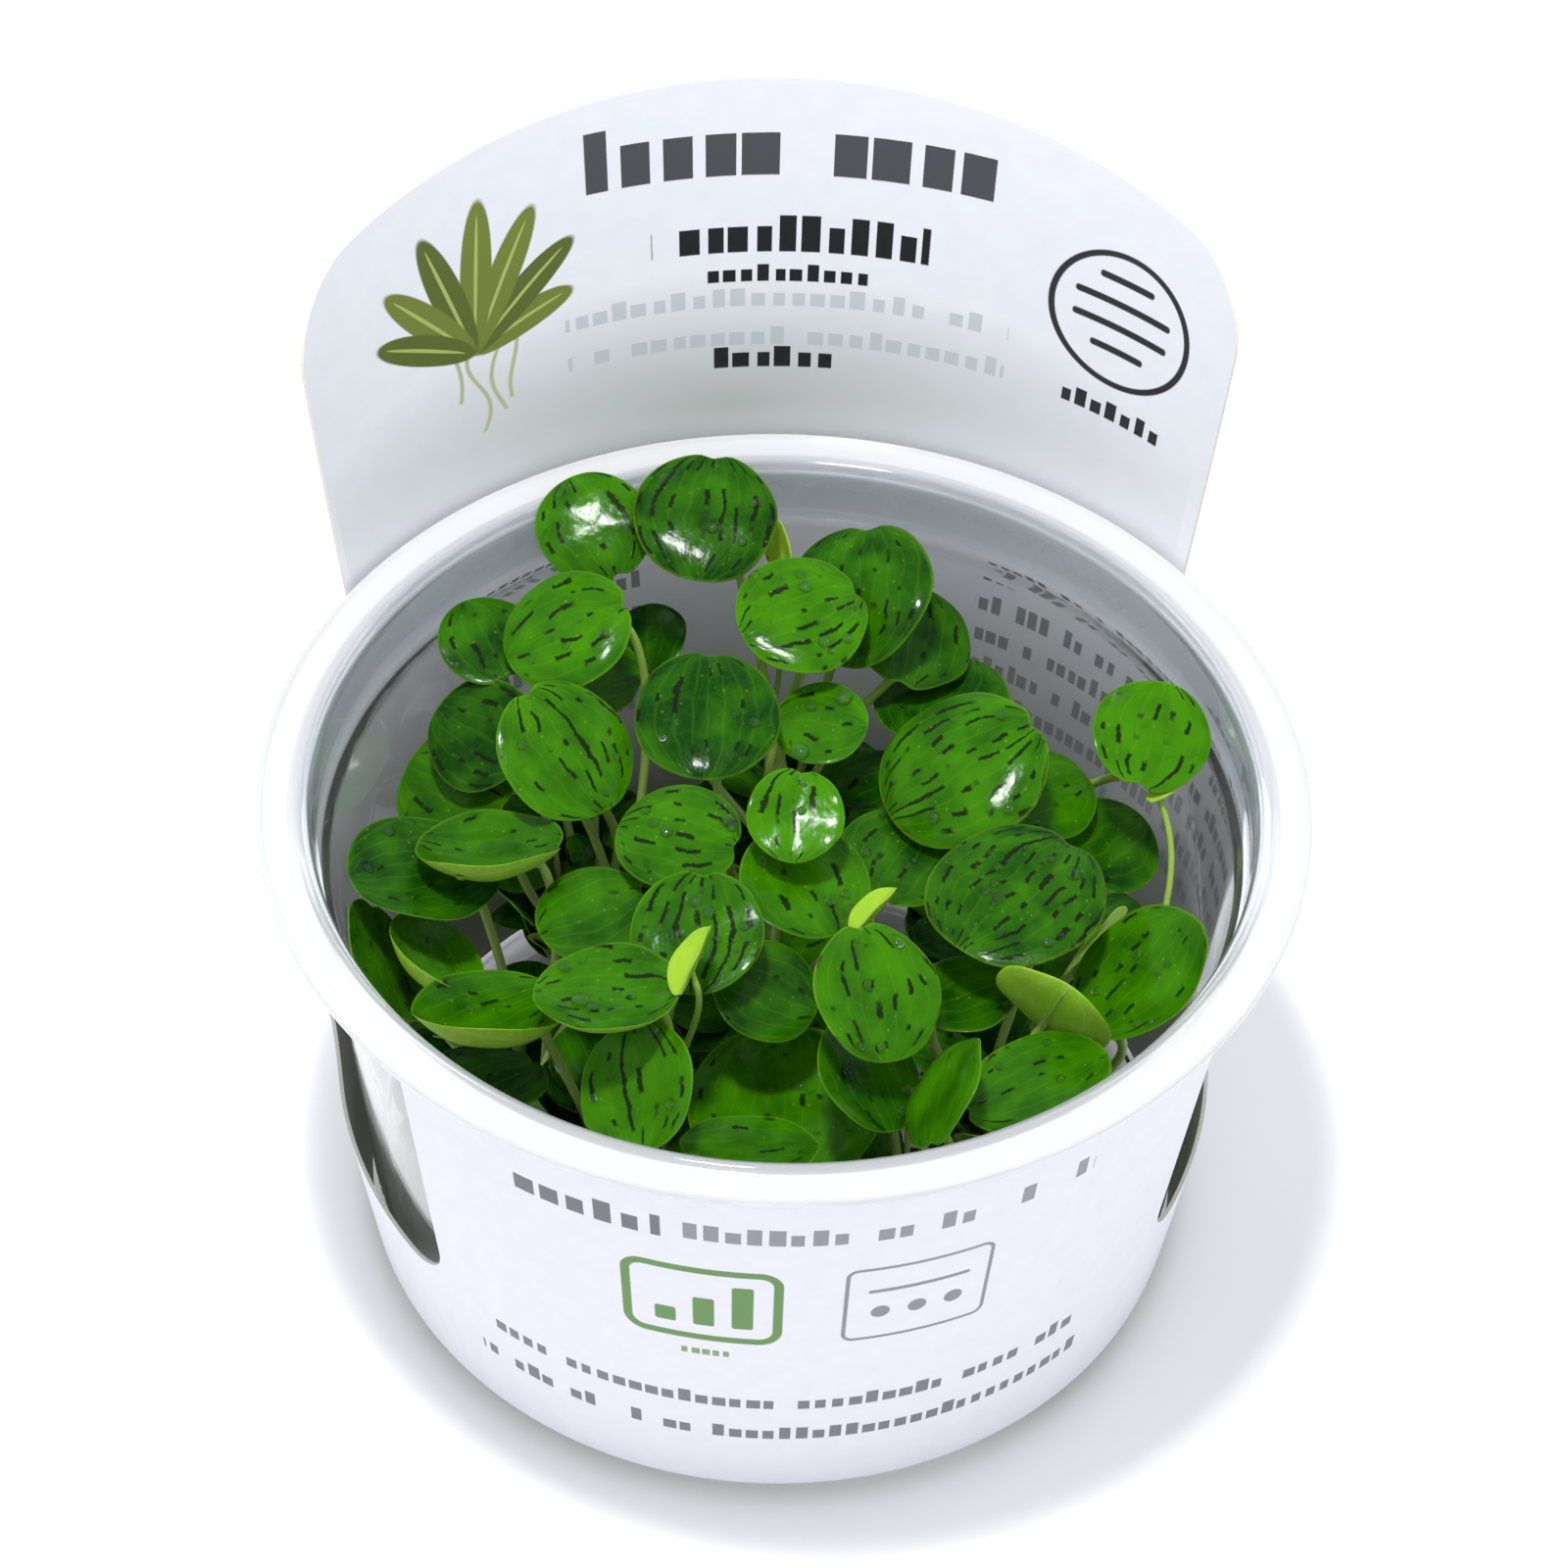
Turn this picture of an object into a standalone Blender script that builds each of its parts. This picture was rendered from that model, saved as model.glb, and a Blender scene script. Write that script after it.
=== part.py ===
"""Frogbit plantlets in the clear cup that they are sold in, with a card sleeve round the cup.

The cup's axis is +Z, its base rests on Z = 0, and the front of the sleeve faces -Y.
Each leaf is one solid: a round blade with a notch at its base, and the stalk that comes out of the notch.
"""

import math

import bmesh
import bpy
from mathutils import Vector
from mathutils.bvhtree import BVHTree

MM = 0.001

# Cup, in millimetres
FLANGE_RADIUS = 45.0
RIM_HEIGHT = 51.5
FLANGE_THICKNESS = 1.5
LIP_RADIUS = 40.3
LIP_DROP = 1.3
LIP_DRAFT = 0.3
BASE_RADIUS = 36.1
WALL_FLARE = 0.085
WALL = 0.9
FLOOR = 1.5
LEDGE_HEIGHT = 45.0
LEDGE_STEP = 1.0
BASE_ROUND = 1.2
EDGE_ROUND = 0.4
CUP_SEGMENTS = 48

# Card sleeve, in millimetres and degrees; azimuth 0 is the front, and +90 is the right side
CARD = 0.35
SLEEVE_BOTTOM = 2.0
WINDOW_BOTTOM = 15.5
WINDOW_ROUND = 5.0
PANEL_TOP = 48.0
PANEL_RADIUS = 36.6
PANEL_FLARE = 0.125
BACK_RADIUS = 36.9
BACK_FLARE = 0.21
BACK_CURVE = 0.0006
PANEL_LEFT, PANEL_RIGHT = -46.0, 59.5
SIDE_RIGHT, SIDE_LEFT = 100.0, 269.5
BACK_RIGHT, BACK_LEFT = 130.0, 239.5
CARD_TOP = 87.9
CARD_TOP_RADIUS = 160.0
CARD_HALF_WIDTH = 45.8
CARD_CORNER = 7.5
SLEEVE_STEP = 6.0
BAND_ROWS = 2
PANEL_ROWS = 3
HEADER_ROWS = 3

# Crowns: the short stem of each plantlet, with its low leaves round it and its roots below. Each has its
# x and y, and the radius and height of its low leaves' rim, in millimetres; neighbours pass at two heights.
CROWNS = {
    "a": (-18, 15, 9.6, 25),
    "b": (2, 20, 10.1, 27),
    "c": (20, 11, 9.5, 22),
    "d": (-2, 3, 9.5, 20),
    "e": (-23, -5, 10.3, 19),
    "f": (-12, -19, 11.0, 28),
    "g": (9, -20, 9.0, 19),
    "h": (21, -8, 9.0, 24),
}
CROWN_TOP = 15.0
CROWN_RADIUS = 3.2
CROWN_NECK = 2.7
CROWN_TAPER = 2.5
ROSETTE_START = 7.0
ROSETTE_DRAFT = 0.5
ROSETTE_THICKNESS = 1.5
STEM_RADIUS = 1.8
ROOT_SPREAD = 8.2
ROOT_HEIGHT = 1.0
CROWN_SIDES = 10

# Leaves, in millimetres, and in parts of the blade's radius or of the way from its notch to its rim
BLADE_THICKNESS = 0.8
SHOULDER_AT = 0.5
SHOULDER_THICKNESS = 0.75
STALK_RADIUS = 0.55
STALK_RING = 2.5
NOTCH_DEPTH = 0.13
NOTCH_PINCH = 0.5
CURL_POWER = 3
BLADE_RAYS = 12
STALK_SIDES = 4
STALK_STEPS = 5
GAP = 0.35
FOOT_GAP = 0.8

# How a stalk leaves its blade: so much back along the blade, and so much down out of it
LEAVES_BACK, LEAVES_DOWN = 0.4, 0.9
# How a stalk is led to its blade: the bows to try in millimetres and the turns to try them at in degrees,
# how far it rises and how far its neck reaches as parts of its span, the longest neck, the neck's part of
# the bow, what a millimetre of bow costs in clearance, how far it looks for others, and at how many points
BOWS = (0, 3, 6, 9, 12)
BOW_TURNS = range(0, 360, 45)
FOOT_RISE = 0.4
NECK_SHARE = 0.35
NECK = 6.0
NECK_BOW = 0.6
BOW_COST = 0.01
SEARCH = 3.0
CHECKS = 20
TANGENT_STEP = 0.02

# Each leaf as seen: its plantlet, the middle of its blade and its width in millimetres; then in degrees how
# far the blade leans from level, the direction that its top leans to, and the direction that its tip points
# to (0 is +X, 90 the back); then how far the rim curls up and how far the halves fold up, in half widths.
LEAVES = [
    ("a", (-18, 32, 51), 10.5, 30, -90, 115, -0.10, 0.0),
    ("b", (-8, 32, 53), 13.0, 20, -90, -95, -0.10, 0.0),
    ("b", (-1, 33, 48), 4.5, 60, -145, 75, 0.00, 0.5),
    ("b", (6, 28, 48), 14.0, 30, -135, -100, -0.20, 0.2),
    ("b", (11, 28, 43), 12.0, 20, -25, 85, -0.10, 0.0),
    ("b", (1, 23, 50), 12.0, 15, -75, -150, -0.10, 0.0),
    ("a", (-20, 20, 50), 12.0, 25, -135, -160, -0.15, 0.0),
    ("a", (-27, 22, 46), 9.0, 15, -80, 120, 0.00, 0.0),
    ("a", (-18, 23, 41), 9.5, 10, -85, 5, 0.00, 0.0),
    ("a", (-27, 14, 42), 10.5, 35, -130, 145, 0.05, 0.0),
    ("a", (-29, 12, 37), 12.0, 30, -145, 150, 0.10, 0.0),
    ("a", (-19, 8, 47), 13.0, 30, -40, -45, -0.10, 0.0),
    ("d", (-7, 12, 48), 13.0, 15, -90, -90, -0.10, 0.0),
    ("b", (-13, 30, 39), 7.5, 20, -140, 90, 0.00, 0.0),
    ("d", (3, 15, 44), 8.5, 15, -115, -5, 0.00, 0.0),
    ("c", (14, 24, 39), 12.5, 5, 135, 70, -0.10, 0.0),
    ("c", (15, 8, 47), 15.5, 25, -145, -155, -0.20, 0.0),
    ("c", (23, 10, 41), 9.5, 15, -40, 35, 0.00, 0.0),
    ("c", (32, 12, 47), 10.5, 25, -75, 80, 0.00, 0.0),
    ("h", (33, 8, 44), 2.5, 15, 170, 30, 0.00, 0.3),
    ("d", (1, -1, 49), 8.5, 25, -90, -95, 0.00, 0.1),
    ("d", (-9, -1, 46), 11.0, 10, -130, 165, -0.05, 0.0),
    ("d", (2, -4, 44), 11.5, 15, -45, -60, 0.00, 0.0),
    ("d", (10, 2, 41), 11.0, 5, -110, 65, 0.00, 0.0),
    ("h", (20, -6, 46), 15.5, 5, -130, -130, -0.10, 0.0),
    ("e", (-31, -3, 42), 13.5, 10, 30, -155, 0.10, 0.0),
    ("e", (-25, -2, 43), 13.0, 20, 105, 175, 0.25, 0.0),
    ("f", (-7, -12, 46), 11.5, 20, -110, -95, 0.00, 0.0),
    ("e", (-16, -7, 42), 10.0, 10, -130, -155, 0.05, 0.0),
    ("e", (-30, -10, 38), 10.0, 35, 15, 135, 0.30, 0.0),
    ("f", (-24, -19, 41), 13.5, 20, 90, -140, 0.25, 0.0),
    ("f", (-14, -20, 46), 12.5, 10, 115, 180, 0.15, 0.0),
    ("f", (-7, -18, 49), 5.5, 50, 175, 50, 0.00, 0.7),
    ("f", (-11, -26, 42), 11.5, 45, -140, -100, 0.05, 0.1),
    ("g", (8, -9, 46), 4.5, 40, 160, 35, 0.00, 0.8),
    ("g", (8, -19, 47), 12.0, 35, -40, -65, -0.05, 0.2),
    ("g", (-1, -14, 41), 9.5, 20, -50, -20, 0.00, 0.0),
    ("g", (8, -22, 40), 11.0, 35, -10, -55, 0.00, 0.0),
    ("h", (16, -12, 39), 9.0, 5, 160, 25, 0.05, 0.0),
    ("h", (23, -17, 43), 11.0, 75, 60, -115, 0.10, 0.0),
    ("h", (31, -12, 42), 13.5, 35, -170, 35, 0.10, 0.0),
    ("h", (27, -5, 38), 9.0, 55, 145, 40, 0.00, 0.4),
    ("g", (14, -26, 43), 10.5, 55, 175, 55, -0.10, 0.1),
    ("h", (22, -24, 41), 13.0, 20, 160, 15, 0.10, 0.0),
    ("g", (1, -19, 32), 17.0, 5, -110, -90, 0.00, 0.0),
    ("g", (-2, -30, 38), 12.0, 25, 95, 0, 0.20, 0.0),
    ("f", (-25, -19, 34), 11.5, 20, 90, -140, 0.00, 0.0),
    ("c", (29, 8, 37), 9.5, 25, -35, 45, 0.00, 0.0),
    ("h", (30, 0, 33), 9.0, 45, -35, 60, 0.00, 0.0),
    ("e", (-34, -9, 37), 12.0, 55, 10, -50, 0.10, 0.0),
]

COLOURS = {
    "clear_plastic": ("#e6eef0", 0.08),
    "coated_card": ("#f2f3f7", 0.35),
    "leaf": ("#3f8f1a", 0.3),
    "young_leaf": ("#8db52e", 0.35),
    "crown": ("#b9c48c", 0.6),
}
YOUNG_WIDTH = 6.0


def clear_scene():
    for old in list(bpy.data.objects):
        bpy.data.objects.remove(old)


def linear(channel):
    return channel / 12.92 if channel <= 0.04045 else ((channel + 0.055) / 1.055) ** 2.4


def finish(name):
    """The named finish's material, made when it is first asked for."""
    if name in bpy.data.materials:
        return bpy.data.materials[name]
    colour, roughness = COLOURS[name]
    made = bpy.data.materials.new(name)
    made.use_nodes = True
    principled = made.node_tree.nodes["Principled BSDF"]
    channels = [linear(int(colour[i : i + 2], 16) / 255) for i in (1, 3, 5)]
    principled.inputs["Base Color"].default_value = (*channels, 1)
    principled.inputs["Roughness"].default_value = roughness
    principled.inputs["Metallic"].default_value = 0
    return made


def add_object(name, bm, finish_name, smooth_angle=40):
    bmesh.ops.recalc_face_normals(bm, faces=bm.faces)
    mesh = bpy.data.meshes.new(name)
    bm.to_mesh(mesh)
    bm.free()
    mesh.shade_smooth()
    mesh.set_sharp_from_angle(angle=math.radians(smooth_angle))
    mesh.materials.append(finish(finish_name))
    made = bpy.data.objects.new(name, mesh)
    bpy.context.scene.collection.objects.link(made)
    return made


def turned(profile, segments):
    """A bmesh turned about Z from (radius, height) points in millimetres that start and end on the axis."""
    bm = bmesh.new()
    points = [bm.verts.new((radius * MM, 0, height * MM)) for radius, height in profile]
    edges = [bm.edges.new(pair) for pair in zip(points, points[1:])]
    about_z = {"axis": (0, 0, 1), "cent": (0, 0, 0), "angle": math.tau}
    bmesh.ops.spin(bm, geom=points + edges, steps=segments, use_merge=True, **about_z)
    bmesh.ops.remove_doubles(bm, verts=bm.verts, dist=0.01 * MM)
    return bm


def wall_outside(height):
    """The cup wall's outer radius below its ledge, in millimetres."""
    return BASE_RADIUS + WALL_FLARE * height


def wall_inside(height):
    """The cup's inner radius at a height, in millimetres, the wider stretch over the ledge included."""
    if height > LEDGE_HEIGHT + LEDGE_STEP:
        return LIP_RADIUS - LIP_DRAFT
    return wall_outside(height) - WALL


def add_cup():
    under_flange = RIM_HEIGHT - FLANGE_THICKNESS
    ledge_top = LEDGE_HEIGHT + LEDGE_STEP
    outside = [
        (0, 0),
        (BASE_RADIUS - BASE_ROUND, 0),
        (wall_outside(BASE_ROUND), BASE_ROUND),
        (wall_outside(LEDGE_HEIGHT), LEDGE_HEIGHT),
        (LIP_RADIUS + WALL, ledge_top),
        (LIP_RADIUS + WALL, under_flange),
        (FLANGE_RADIUS - EDGE_ROUND, under_flange),
        (FLANGE_RADIUS, under_flange + EDGE_ROUND),
        (FLANGE_RADIUS, RIM_HEIGHT - EDGE_ROUND),
        (FLANGE_RADIUS - EDGE_ROUND, RIM_HEIGHT),
    ]
    inside = [
        (LIP_RADIUS + WALL, RIM_HEIGHT),
        (LIP_RADIUS, RIM_HEIGHT - LIP_DROP),
        (LIP_RADIUS - LIP_DRAFT, ledge_top),
        (wall_inside(LEDGE_HEIGHT - WALL), LEDGE_HEIGHT - WALL),
        (wall_inside(FLOOR + BASE_ROUND), FLOOR + BASE_ROUND),
        (wall_inside(FLOOR) - BASE_ROUND, FLOOR),
        (0, FLOOR),
    ]
    return add_object("cup", turned(outside + inside, CUP_SEGMENTS), "clear_plastic", smooth_angle=30)


def smooth(low, high, value):
    share = min(1, max(0, (value - low) / (high - low)))
    return share * share * (3 - 2 * share)


def back_share(azimuth):
    """0 on the front panel, 1 on the back card, and between them over the windows."""
    if azimuth < BACK_RIGHT:
        return smooth(PANEL_RIGHT, BACK_RIGHT, azimuth)
    return 1 - smooth(BACK_LEFT, PANEL_LEFT + 360, azimuth)


def sleeve_radius(azimuth, height):
    front = PANEL_RADIUS + PANEL_FLARE * height
    back = BACK_RADIUS + BACK_FLARE * height - BACK_CURVE * height**2
    share = back_share(azimuth)
    return front * (1 - share) + back * share


def band_top(azimuth):
    """The window's lower edge, which rises round a corner at each end of the window."""
    if PANEL_RIGHT < azimuth < SIDE_RIGHT:
        from_end = min(azimuth - PANEL_RIGHT, SIDE_RIGHT - azimuth)
    elif SIDE_LEFT < azimuth < PANEL_LEFT + 360:
        from_end = min(azimuth - SIDE_LEFT, PANEL_LEFT + 360 - azimuth)
    else:
        from_end = 0
    along = min(WINDOW_ROUND, math.radians(from_end) * PANEL_RADIUS)
    return WINDOW_BOTTOM + WINDOW_ROUND - math.sqrt(WINDOW_ROUND**2 - (WINDOW_ROUND - along) ** 2)


def card_top(azimuth):
    """The back card's upper edge: one wide arc with a rounded corner at each end."""
    middle = (BACK_RIGHT + BACK_LEFT) / 2
    across = CARD_HALF_WIDTH * abs(azimuth - middle) / (BACK_LEFT - middle)
    arc = CARD_TOP - CARD_TOP_RADIUS + math.sqrt(CARD_TOP_RADIUS**2 - across**2)
    into_corner = max(0, across - CARD_HALF_WIDTH + CARD_CORNER)
    return arc - CARD_CORNER + math.sqrt(max(0, CARD_CORNER**2 - into_corner**2))


def on_sleeve(azimuth, height):
    radius = sleeve_radius(azimuth, height) * MM
    turn = math.radians(azimuth)
    return Vector((radius * math.sin(turn), -radius * math.cos(turn), height * MM))


def stepped(low, high, count):
    """The heights of the rows above low, up to high."""
    return [low + (high - low) * row / count for row in range(1, count + 1)]


def add_sleeve():
    """The card's middle surface as one strip round the cup, then given its thickness."""
    bm = bmesh.new()
    # Each stretch has its ends and its rows above the band: none over a window, and most in the header.
    stretches = [
        (PANEL_LEFT, PANEL_RIGHT, PANEL_ROWS),
        (PANEL_RIGHT, SIDE_RIGHT, 0),
        (SIDE_RIGHT, BACK_RIGHT, PANEL_ROWS),
        (BACK_RIGHT, BACK_LEFT, PANEL_ROWS + HEADER_ROWS),
        (BACK_LEFT, SIDE_LEFT, PANEL_ROWS),
        (SIDE_LEFT, PANEL_LEFT + 360, 0),
    ]
    columns = []
    for start, end, rows in stretches:
        count = math.ceil((end - start) / SLEEVE_STEP)
        for step in range(count):
            # The columns crowd towards each end, where the corners are.
            share = (1 - math.cos(math.pi * step / count)) / 2
            columns.append((start + (end - start) * share, rows))
    rings = []
    for index, (azimuth, rows) in enumerate(columns):
        reach = max(rows, columns[index - 1][1])
        low = band_top(azimuth)
        heights = [SLEEVE_BOTTOM, *stepped(SLEEVE_BOTTOM, low, BAND_ROWS)]
        if reach:
            heights += stepped(low, PANEL_TOP, PANEL_ROWS)
        if reach > PANEL_ROWS:
            heights += stepped(PANEL_TOP, card_top(azimuth), HEADER_ROWS)
        rings.append([bm.verts.new(on_sleeve(azimuth, height)) for height in heights])
    for index, (_, rows) in enumerate(columns):
        near, far = rings[index], rings[(index + 1) % len(rings)]
        for row in range(BAND_ROWS + rows):
            bm.faces.new((near[row], far[row], far[row + 1], near[row + 1]))
    sleeve = add_object("sleeve", bm, "coated_card")
    thicken = sleeve.modifiers.new("card", "SOLIDIFY")
    thicken.thickness = CARD * MM
    thicken.offset = 0
    return sleeve


class Blade:
    """A leaf blade's own axes: along to its tip, across to its left, and up out of its top face."""

    def __init__(self, plant, middle, width, lean, faces, heading, curl, fold):
        self.plant = plant
        self.radius = width / 2 * MM
        self.curl = curl
        self.fold = fold
        lean, faces, heading = (math.radians(angle) for angle in (lean, faces, heading))
        sideways = math.sin(lean)
        self.up = Vector((sideways * math.cos(faces), sideways * math.sin(faces), math.cos(lean)))
        forward = Vector((math.cos(heading), math.sin(heading), 0))
        self.along = (forward - forward.dot(self.up) * self.up).normalized()
        self.across = self.up.cross(self.along)
        self.notch_to_middle = self.radius * (1 - 2 * NOTCH_DEPTH)
        self.notch = Vector(middle) * MM - self.along * self.notch_to_middle

    def point(self, along, across, over=0.0):
        """A point of the blade, measured from its notch, and lifted by its curl, its fold and over."""
        from_middle = math.hypot(along - self.notch_to_middle, across) / self.radius
        lift = self.curl * self.radius * from_middle**CURL_POWER + self.fold * abs(across) + over
        return self.notch + self.along * along + self.across * across + self.up * lift

    def reach(self, angle):
        """The distance from the notch to the rim, on a circle round the blade's middle."""
        offset = self.notch_to_middle
        return offset * math.cos(angle) + math.sqrt(self.radius**2 - (offset * math.sin(angle)) ** 2)

    def ring(self, share, over):
        """Points round the notch at a share of the way to the rim. The first is in the notch, drawn in."""
        points = []
        for ray in range(BLADE_RAYS):
            angle = math.pi + math.tau * ray / BLADE_RAYS
            reach = share * self.reach(angle) * (1 if ray else NOTCH_PINCH)
            points.append(self.point(reach * math.cos(angle), reach * math.sin(angle), over))
        return points

    def stalk_top(self):
        """Where the stalk's middle line meets the underside, and the direction in which it leaves."""
        start = self.point(STALK_RADIUS * MM, 0, -BLADE_THICKNESS * MM)
        return start, -(LEAVES_BACK * self.along + LEAVES_DOWN * self.up).normalized()


def band(bm, lower, upper):
    """Quads between two rings of the same count."""
    count = len(lower)
    for i in range(count):
        j = (i + 1) % count
        bm.faces.new((lower[i], lower[j], upper[j], upper[i]))


def blade_mesh(blade):
    """The blade as a bmesh, still open round its notch underneath, and that opening's vertices."""
    bm = bmesh.new()
    half = BLADE_THICKNESS / 2 * MM
    middle = bm.verts.new(blade.point(0, 0, half))
    shoulder = half * SHOULDER_THICKNESS
    above = [bm.verts.new(place) for place in blade.ring(SHOULDER_AT, shoulder)]
    rim = [bm.verts.new(place) for place in blade.ring(1, 0)]
    below = [bm.verts.new(place) for place in blade.ring(SHOULDER_AT, -shoulder)]
    for i in range(BLADE_RAYS):
        bm.faces.new((middle, above[i], above[(i + 1) % BLADE_RAYS]))
    band(bm, above, rim)
    band(bm, rim, below)
    return bm, below


def bezier(points, share):
    """A point on the cubic curve with these four control points."""
    rest = 1 - share
    weights = (rest**3, 3 * rest**2 * share, 3 * rest * share**2, share**3)
    return sum((weight * point for weight, point in zip(weights, points)), Vector())


def stalk_start(blade, blades):
    """The stalk's foot, in a ring on the crown, where the stalks follow the order of their directions."""
    x, y, _, _ = CROWNS[blade.plant]
    crown = Vector((x, y, CROWN_TOP + FOOT_GAP)) * MM
    own = [other for other in blades if other.plant == blade.plant]
    turns = sorted(math.atan2(other.notch.y - crown.y, other.notch.x - crown.x) for other in own)
    turn = math.atan2(blade.notch.y - crown.y, blade.notch.x - crown.x)
    slot = turns[0] + math.tau * turns.index(turn) / len(turns)
    return crown + Vector((math.cos(slot), math.sin(slot), 0)) * STALK_RING * MM


def clearance(place, others, stalks):
    """How far a point on a stalk's middle line is from touching what else is there, or the cup's wall."""
    room = wall_inside(place.z / MM) * MM - math.hypot(place.x, place.y) - STALK_RADIUS * MM
    for tree in others:
        nearest = tree.find_nearest(place, SEARCH * MM)
        if nearest[0] is not None:
            room = min(room, nearest[3] - STALK_RADIUS * MM)
    for point in stalks:
        room = min(room, (point - place).length - 2 * STALK_RADIUS * MM)
    return room


def route_stalk(blade, start, others, stalks):
    """The four control points of the stalk's curve: the least bowed of the curves that keep clear."""
    end, leaving = blade.stalk_top()
    span = (end - start).length
    best_score, best = -math.inf, None
    for amount in BOWS:
        for turn in map(math.radians, BOW_TURNS):
            bow = Vector((math.cos(turn), math.sin(turn), 0)) * amount * MM
            foot = start + Vector((0, 0, FOOT_RISE * span)) + bow
            neck = end + leaving * min(NECK_SHARE * span, NECK * MM) + bow * NECK_BOW
            points = (start, foot, neck, end)
            samples = [bezier(points, share / CHECKS) for share in range(1, CHECKS)]
            room = min(clearance(sample, others, stalks) for sample in samples)
            score = min(room, GAP * 2 * MM) - BOW_COST * amount * MM
            if score > best_score:
                best_score, best = score, points
    return best


def join_rings(bm, wide, narrow):
    """Faces between a ring and one of fewer points."""
    count = len(wide)
    nearest = [narrow[round(i * len(narrow) / count) % len(narrow)] for i in range(count)]
    for i in range(count):
        j = (i + 1) % count
        corners = [wide[i], wide[j], nearest[j]]
        if nearest[i] is not nearest[j]:
            corners.append(nearest[i])
        bm.faces.new(corners)


def add_leaf(name, blade, bm, opening, points):
    """The finished leaf: the blade with its stalk swept from the notch to the crown."""
    last = opening
    side = blade.across
    for step in range(STALK_STEPS + 1):
        share = 1 - step / STALK_STEPS
        centre = bezier(points, share)
        ahead = bezier(points, max(0, share - TANGENT_STEP)) - bezier(points, min(1, share + TANGENT_STEP))
        ahead.normalize()
        side = (side - side.dot(ahead) * ahead).normalized()
        front = ahead.cross(side)
        ring = []
        for corner in range(STALK_SIDES):
            angle = math.pi + math.tau * corner / STALK_SIDES
            offset = front * math.cos(angle) + side * math.sin(angle)
            ring.append(bm.verts.new(centre + offset * STALK_RADIUS * MM))
        if step == 0:
            join_rings(bm, last, ring)
        else:
            band(bm, last, ring)
        last = ring
    bm.faces.new(last)
    young = blade.radius * 2 < YOUNG_WIDTH * MM
    return add_object(name, bm, "young_leaf" if young else "leaf")


def add_crown(plant):
    """The short stem, its low leaves that rise round it, and the roots that spread over the cup's floor.

    It gives back its surface, for the other plantlets' stalks to keep clear of."""
    x, y, reach, height = CROWNS[plant]
    low = FLOOR + GAP
    profile = [
        (0, low),
        (ROOT_SPREAD, low),
        (ROOT_SPREAD, low + ROOT_HEIGHT),
        (STEM_RADIUS, ROSETTE_START),
        (reach, height),
        (reach - ROSETTE_DRAFT, height + ROSETTE_THICKNESS),
        (CROWN_NECK, CROWN_TOP - CROWN_TAPER),
        (CROWN_RADIUS, CROWN_TOP),
        (0, CROWN_TOP),
    ]
    bm = turned(profile, CROWN_SIDES)
    bmesh.ops.translate(bm, verts=bm.verts, vec=(x * MM, y * MM, 0))
    surface = BVHTree.FromBMesh(bm)
    add_object("crown_" + plant, bm, "crown")
    return surface


def add_leaves(crowns):
    blades = [Blade(*row) for row in LEAVES]
    meshes = [blade_mesh(blade) for blade in blades]
    trees = [BVHTree.FromBMesh(bm) for bm, _ in meshes]
    stalks = []
    for index, (blade, (bm, opening)) in enumerate(zip(blades, meshes)):
        others = trees[:index] + trees[index + 1 :]
        others += [surface for plant, surface in crowns.items() if plant != blade.plant]
        points = route_stalk(blade, stalk_start(blade, blades), others, stalks)
        stalks += [bezier(points, share / CHECKS) for share in range(CHECKS + 1)]
        add_leaf(f"leaf_{index + 1:02d}", blade, bm, opening, points)


def main():
    clear_scene()
    add_cup()
    add_sleeve()
    crowns = {plant: add_crown(plant) for plant in CROWNS}
    add_leaves(crowns)


main()
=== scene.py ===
# %% [markdown]
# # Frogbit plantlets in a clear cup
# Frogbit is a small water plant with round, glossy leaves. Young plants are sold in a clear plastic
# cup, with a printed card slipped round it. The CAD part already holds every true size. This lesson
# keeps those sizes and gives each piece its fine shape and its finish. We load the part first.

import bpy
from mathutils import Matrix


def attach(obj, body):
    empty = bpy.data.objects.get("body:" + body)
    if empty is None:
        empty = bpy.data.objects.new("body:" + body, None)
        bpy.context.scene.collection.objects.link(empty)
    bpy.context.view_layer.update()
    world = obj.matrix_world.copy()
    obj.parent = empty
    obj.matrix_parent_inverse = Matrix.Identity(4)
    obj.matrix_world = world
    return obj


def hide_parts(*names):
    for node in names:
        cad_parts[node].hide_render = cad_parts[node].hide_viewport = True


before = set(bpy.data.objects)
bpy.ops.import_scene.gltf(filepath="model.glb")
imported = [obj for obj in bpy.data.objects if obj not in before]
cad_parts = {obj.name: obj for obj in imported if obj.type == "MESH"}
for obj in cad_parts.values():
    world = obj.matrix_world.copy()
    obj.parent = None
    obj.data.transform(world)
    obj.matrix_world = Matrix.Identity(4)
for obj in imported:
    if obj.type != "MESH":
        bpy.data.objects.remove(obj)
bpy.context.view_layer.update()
print("CAD nodes:", len(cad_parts))

# %% [markdown]
# ## The camera
# The picture was taken from the front, looking down at 46 degrees, with the camera tipped by 2 degrees.
# We build the camera's own axes from those angles and put it 400 mm from a point in the cup's mouth. A
# long lens keeps the cup's sides nearly parallel, as they are in the picture.

# %% Camera
import math
import random

import bpy
import numpy as np
from mathutils import Matrix, Vector

MM = 0.001
scene = bpy.context.scene

CAMERA_ELEVATION, CAMERA_ROLL = math.radians(46.41), math.radians(1.99)
CAMERA_DISTANCE = 400
LOOKS_AT = Vector((-0.08, 0, 51.81))
LENS = 107.8

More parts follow.
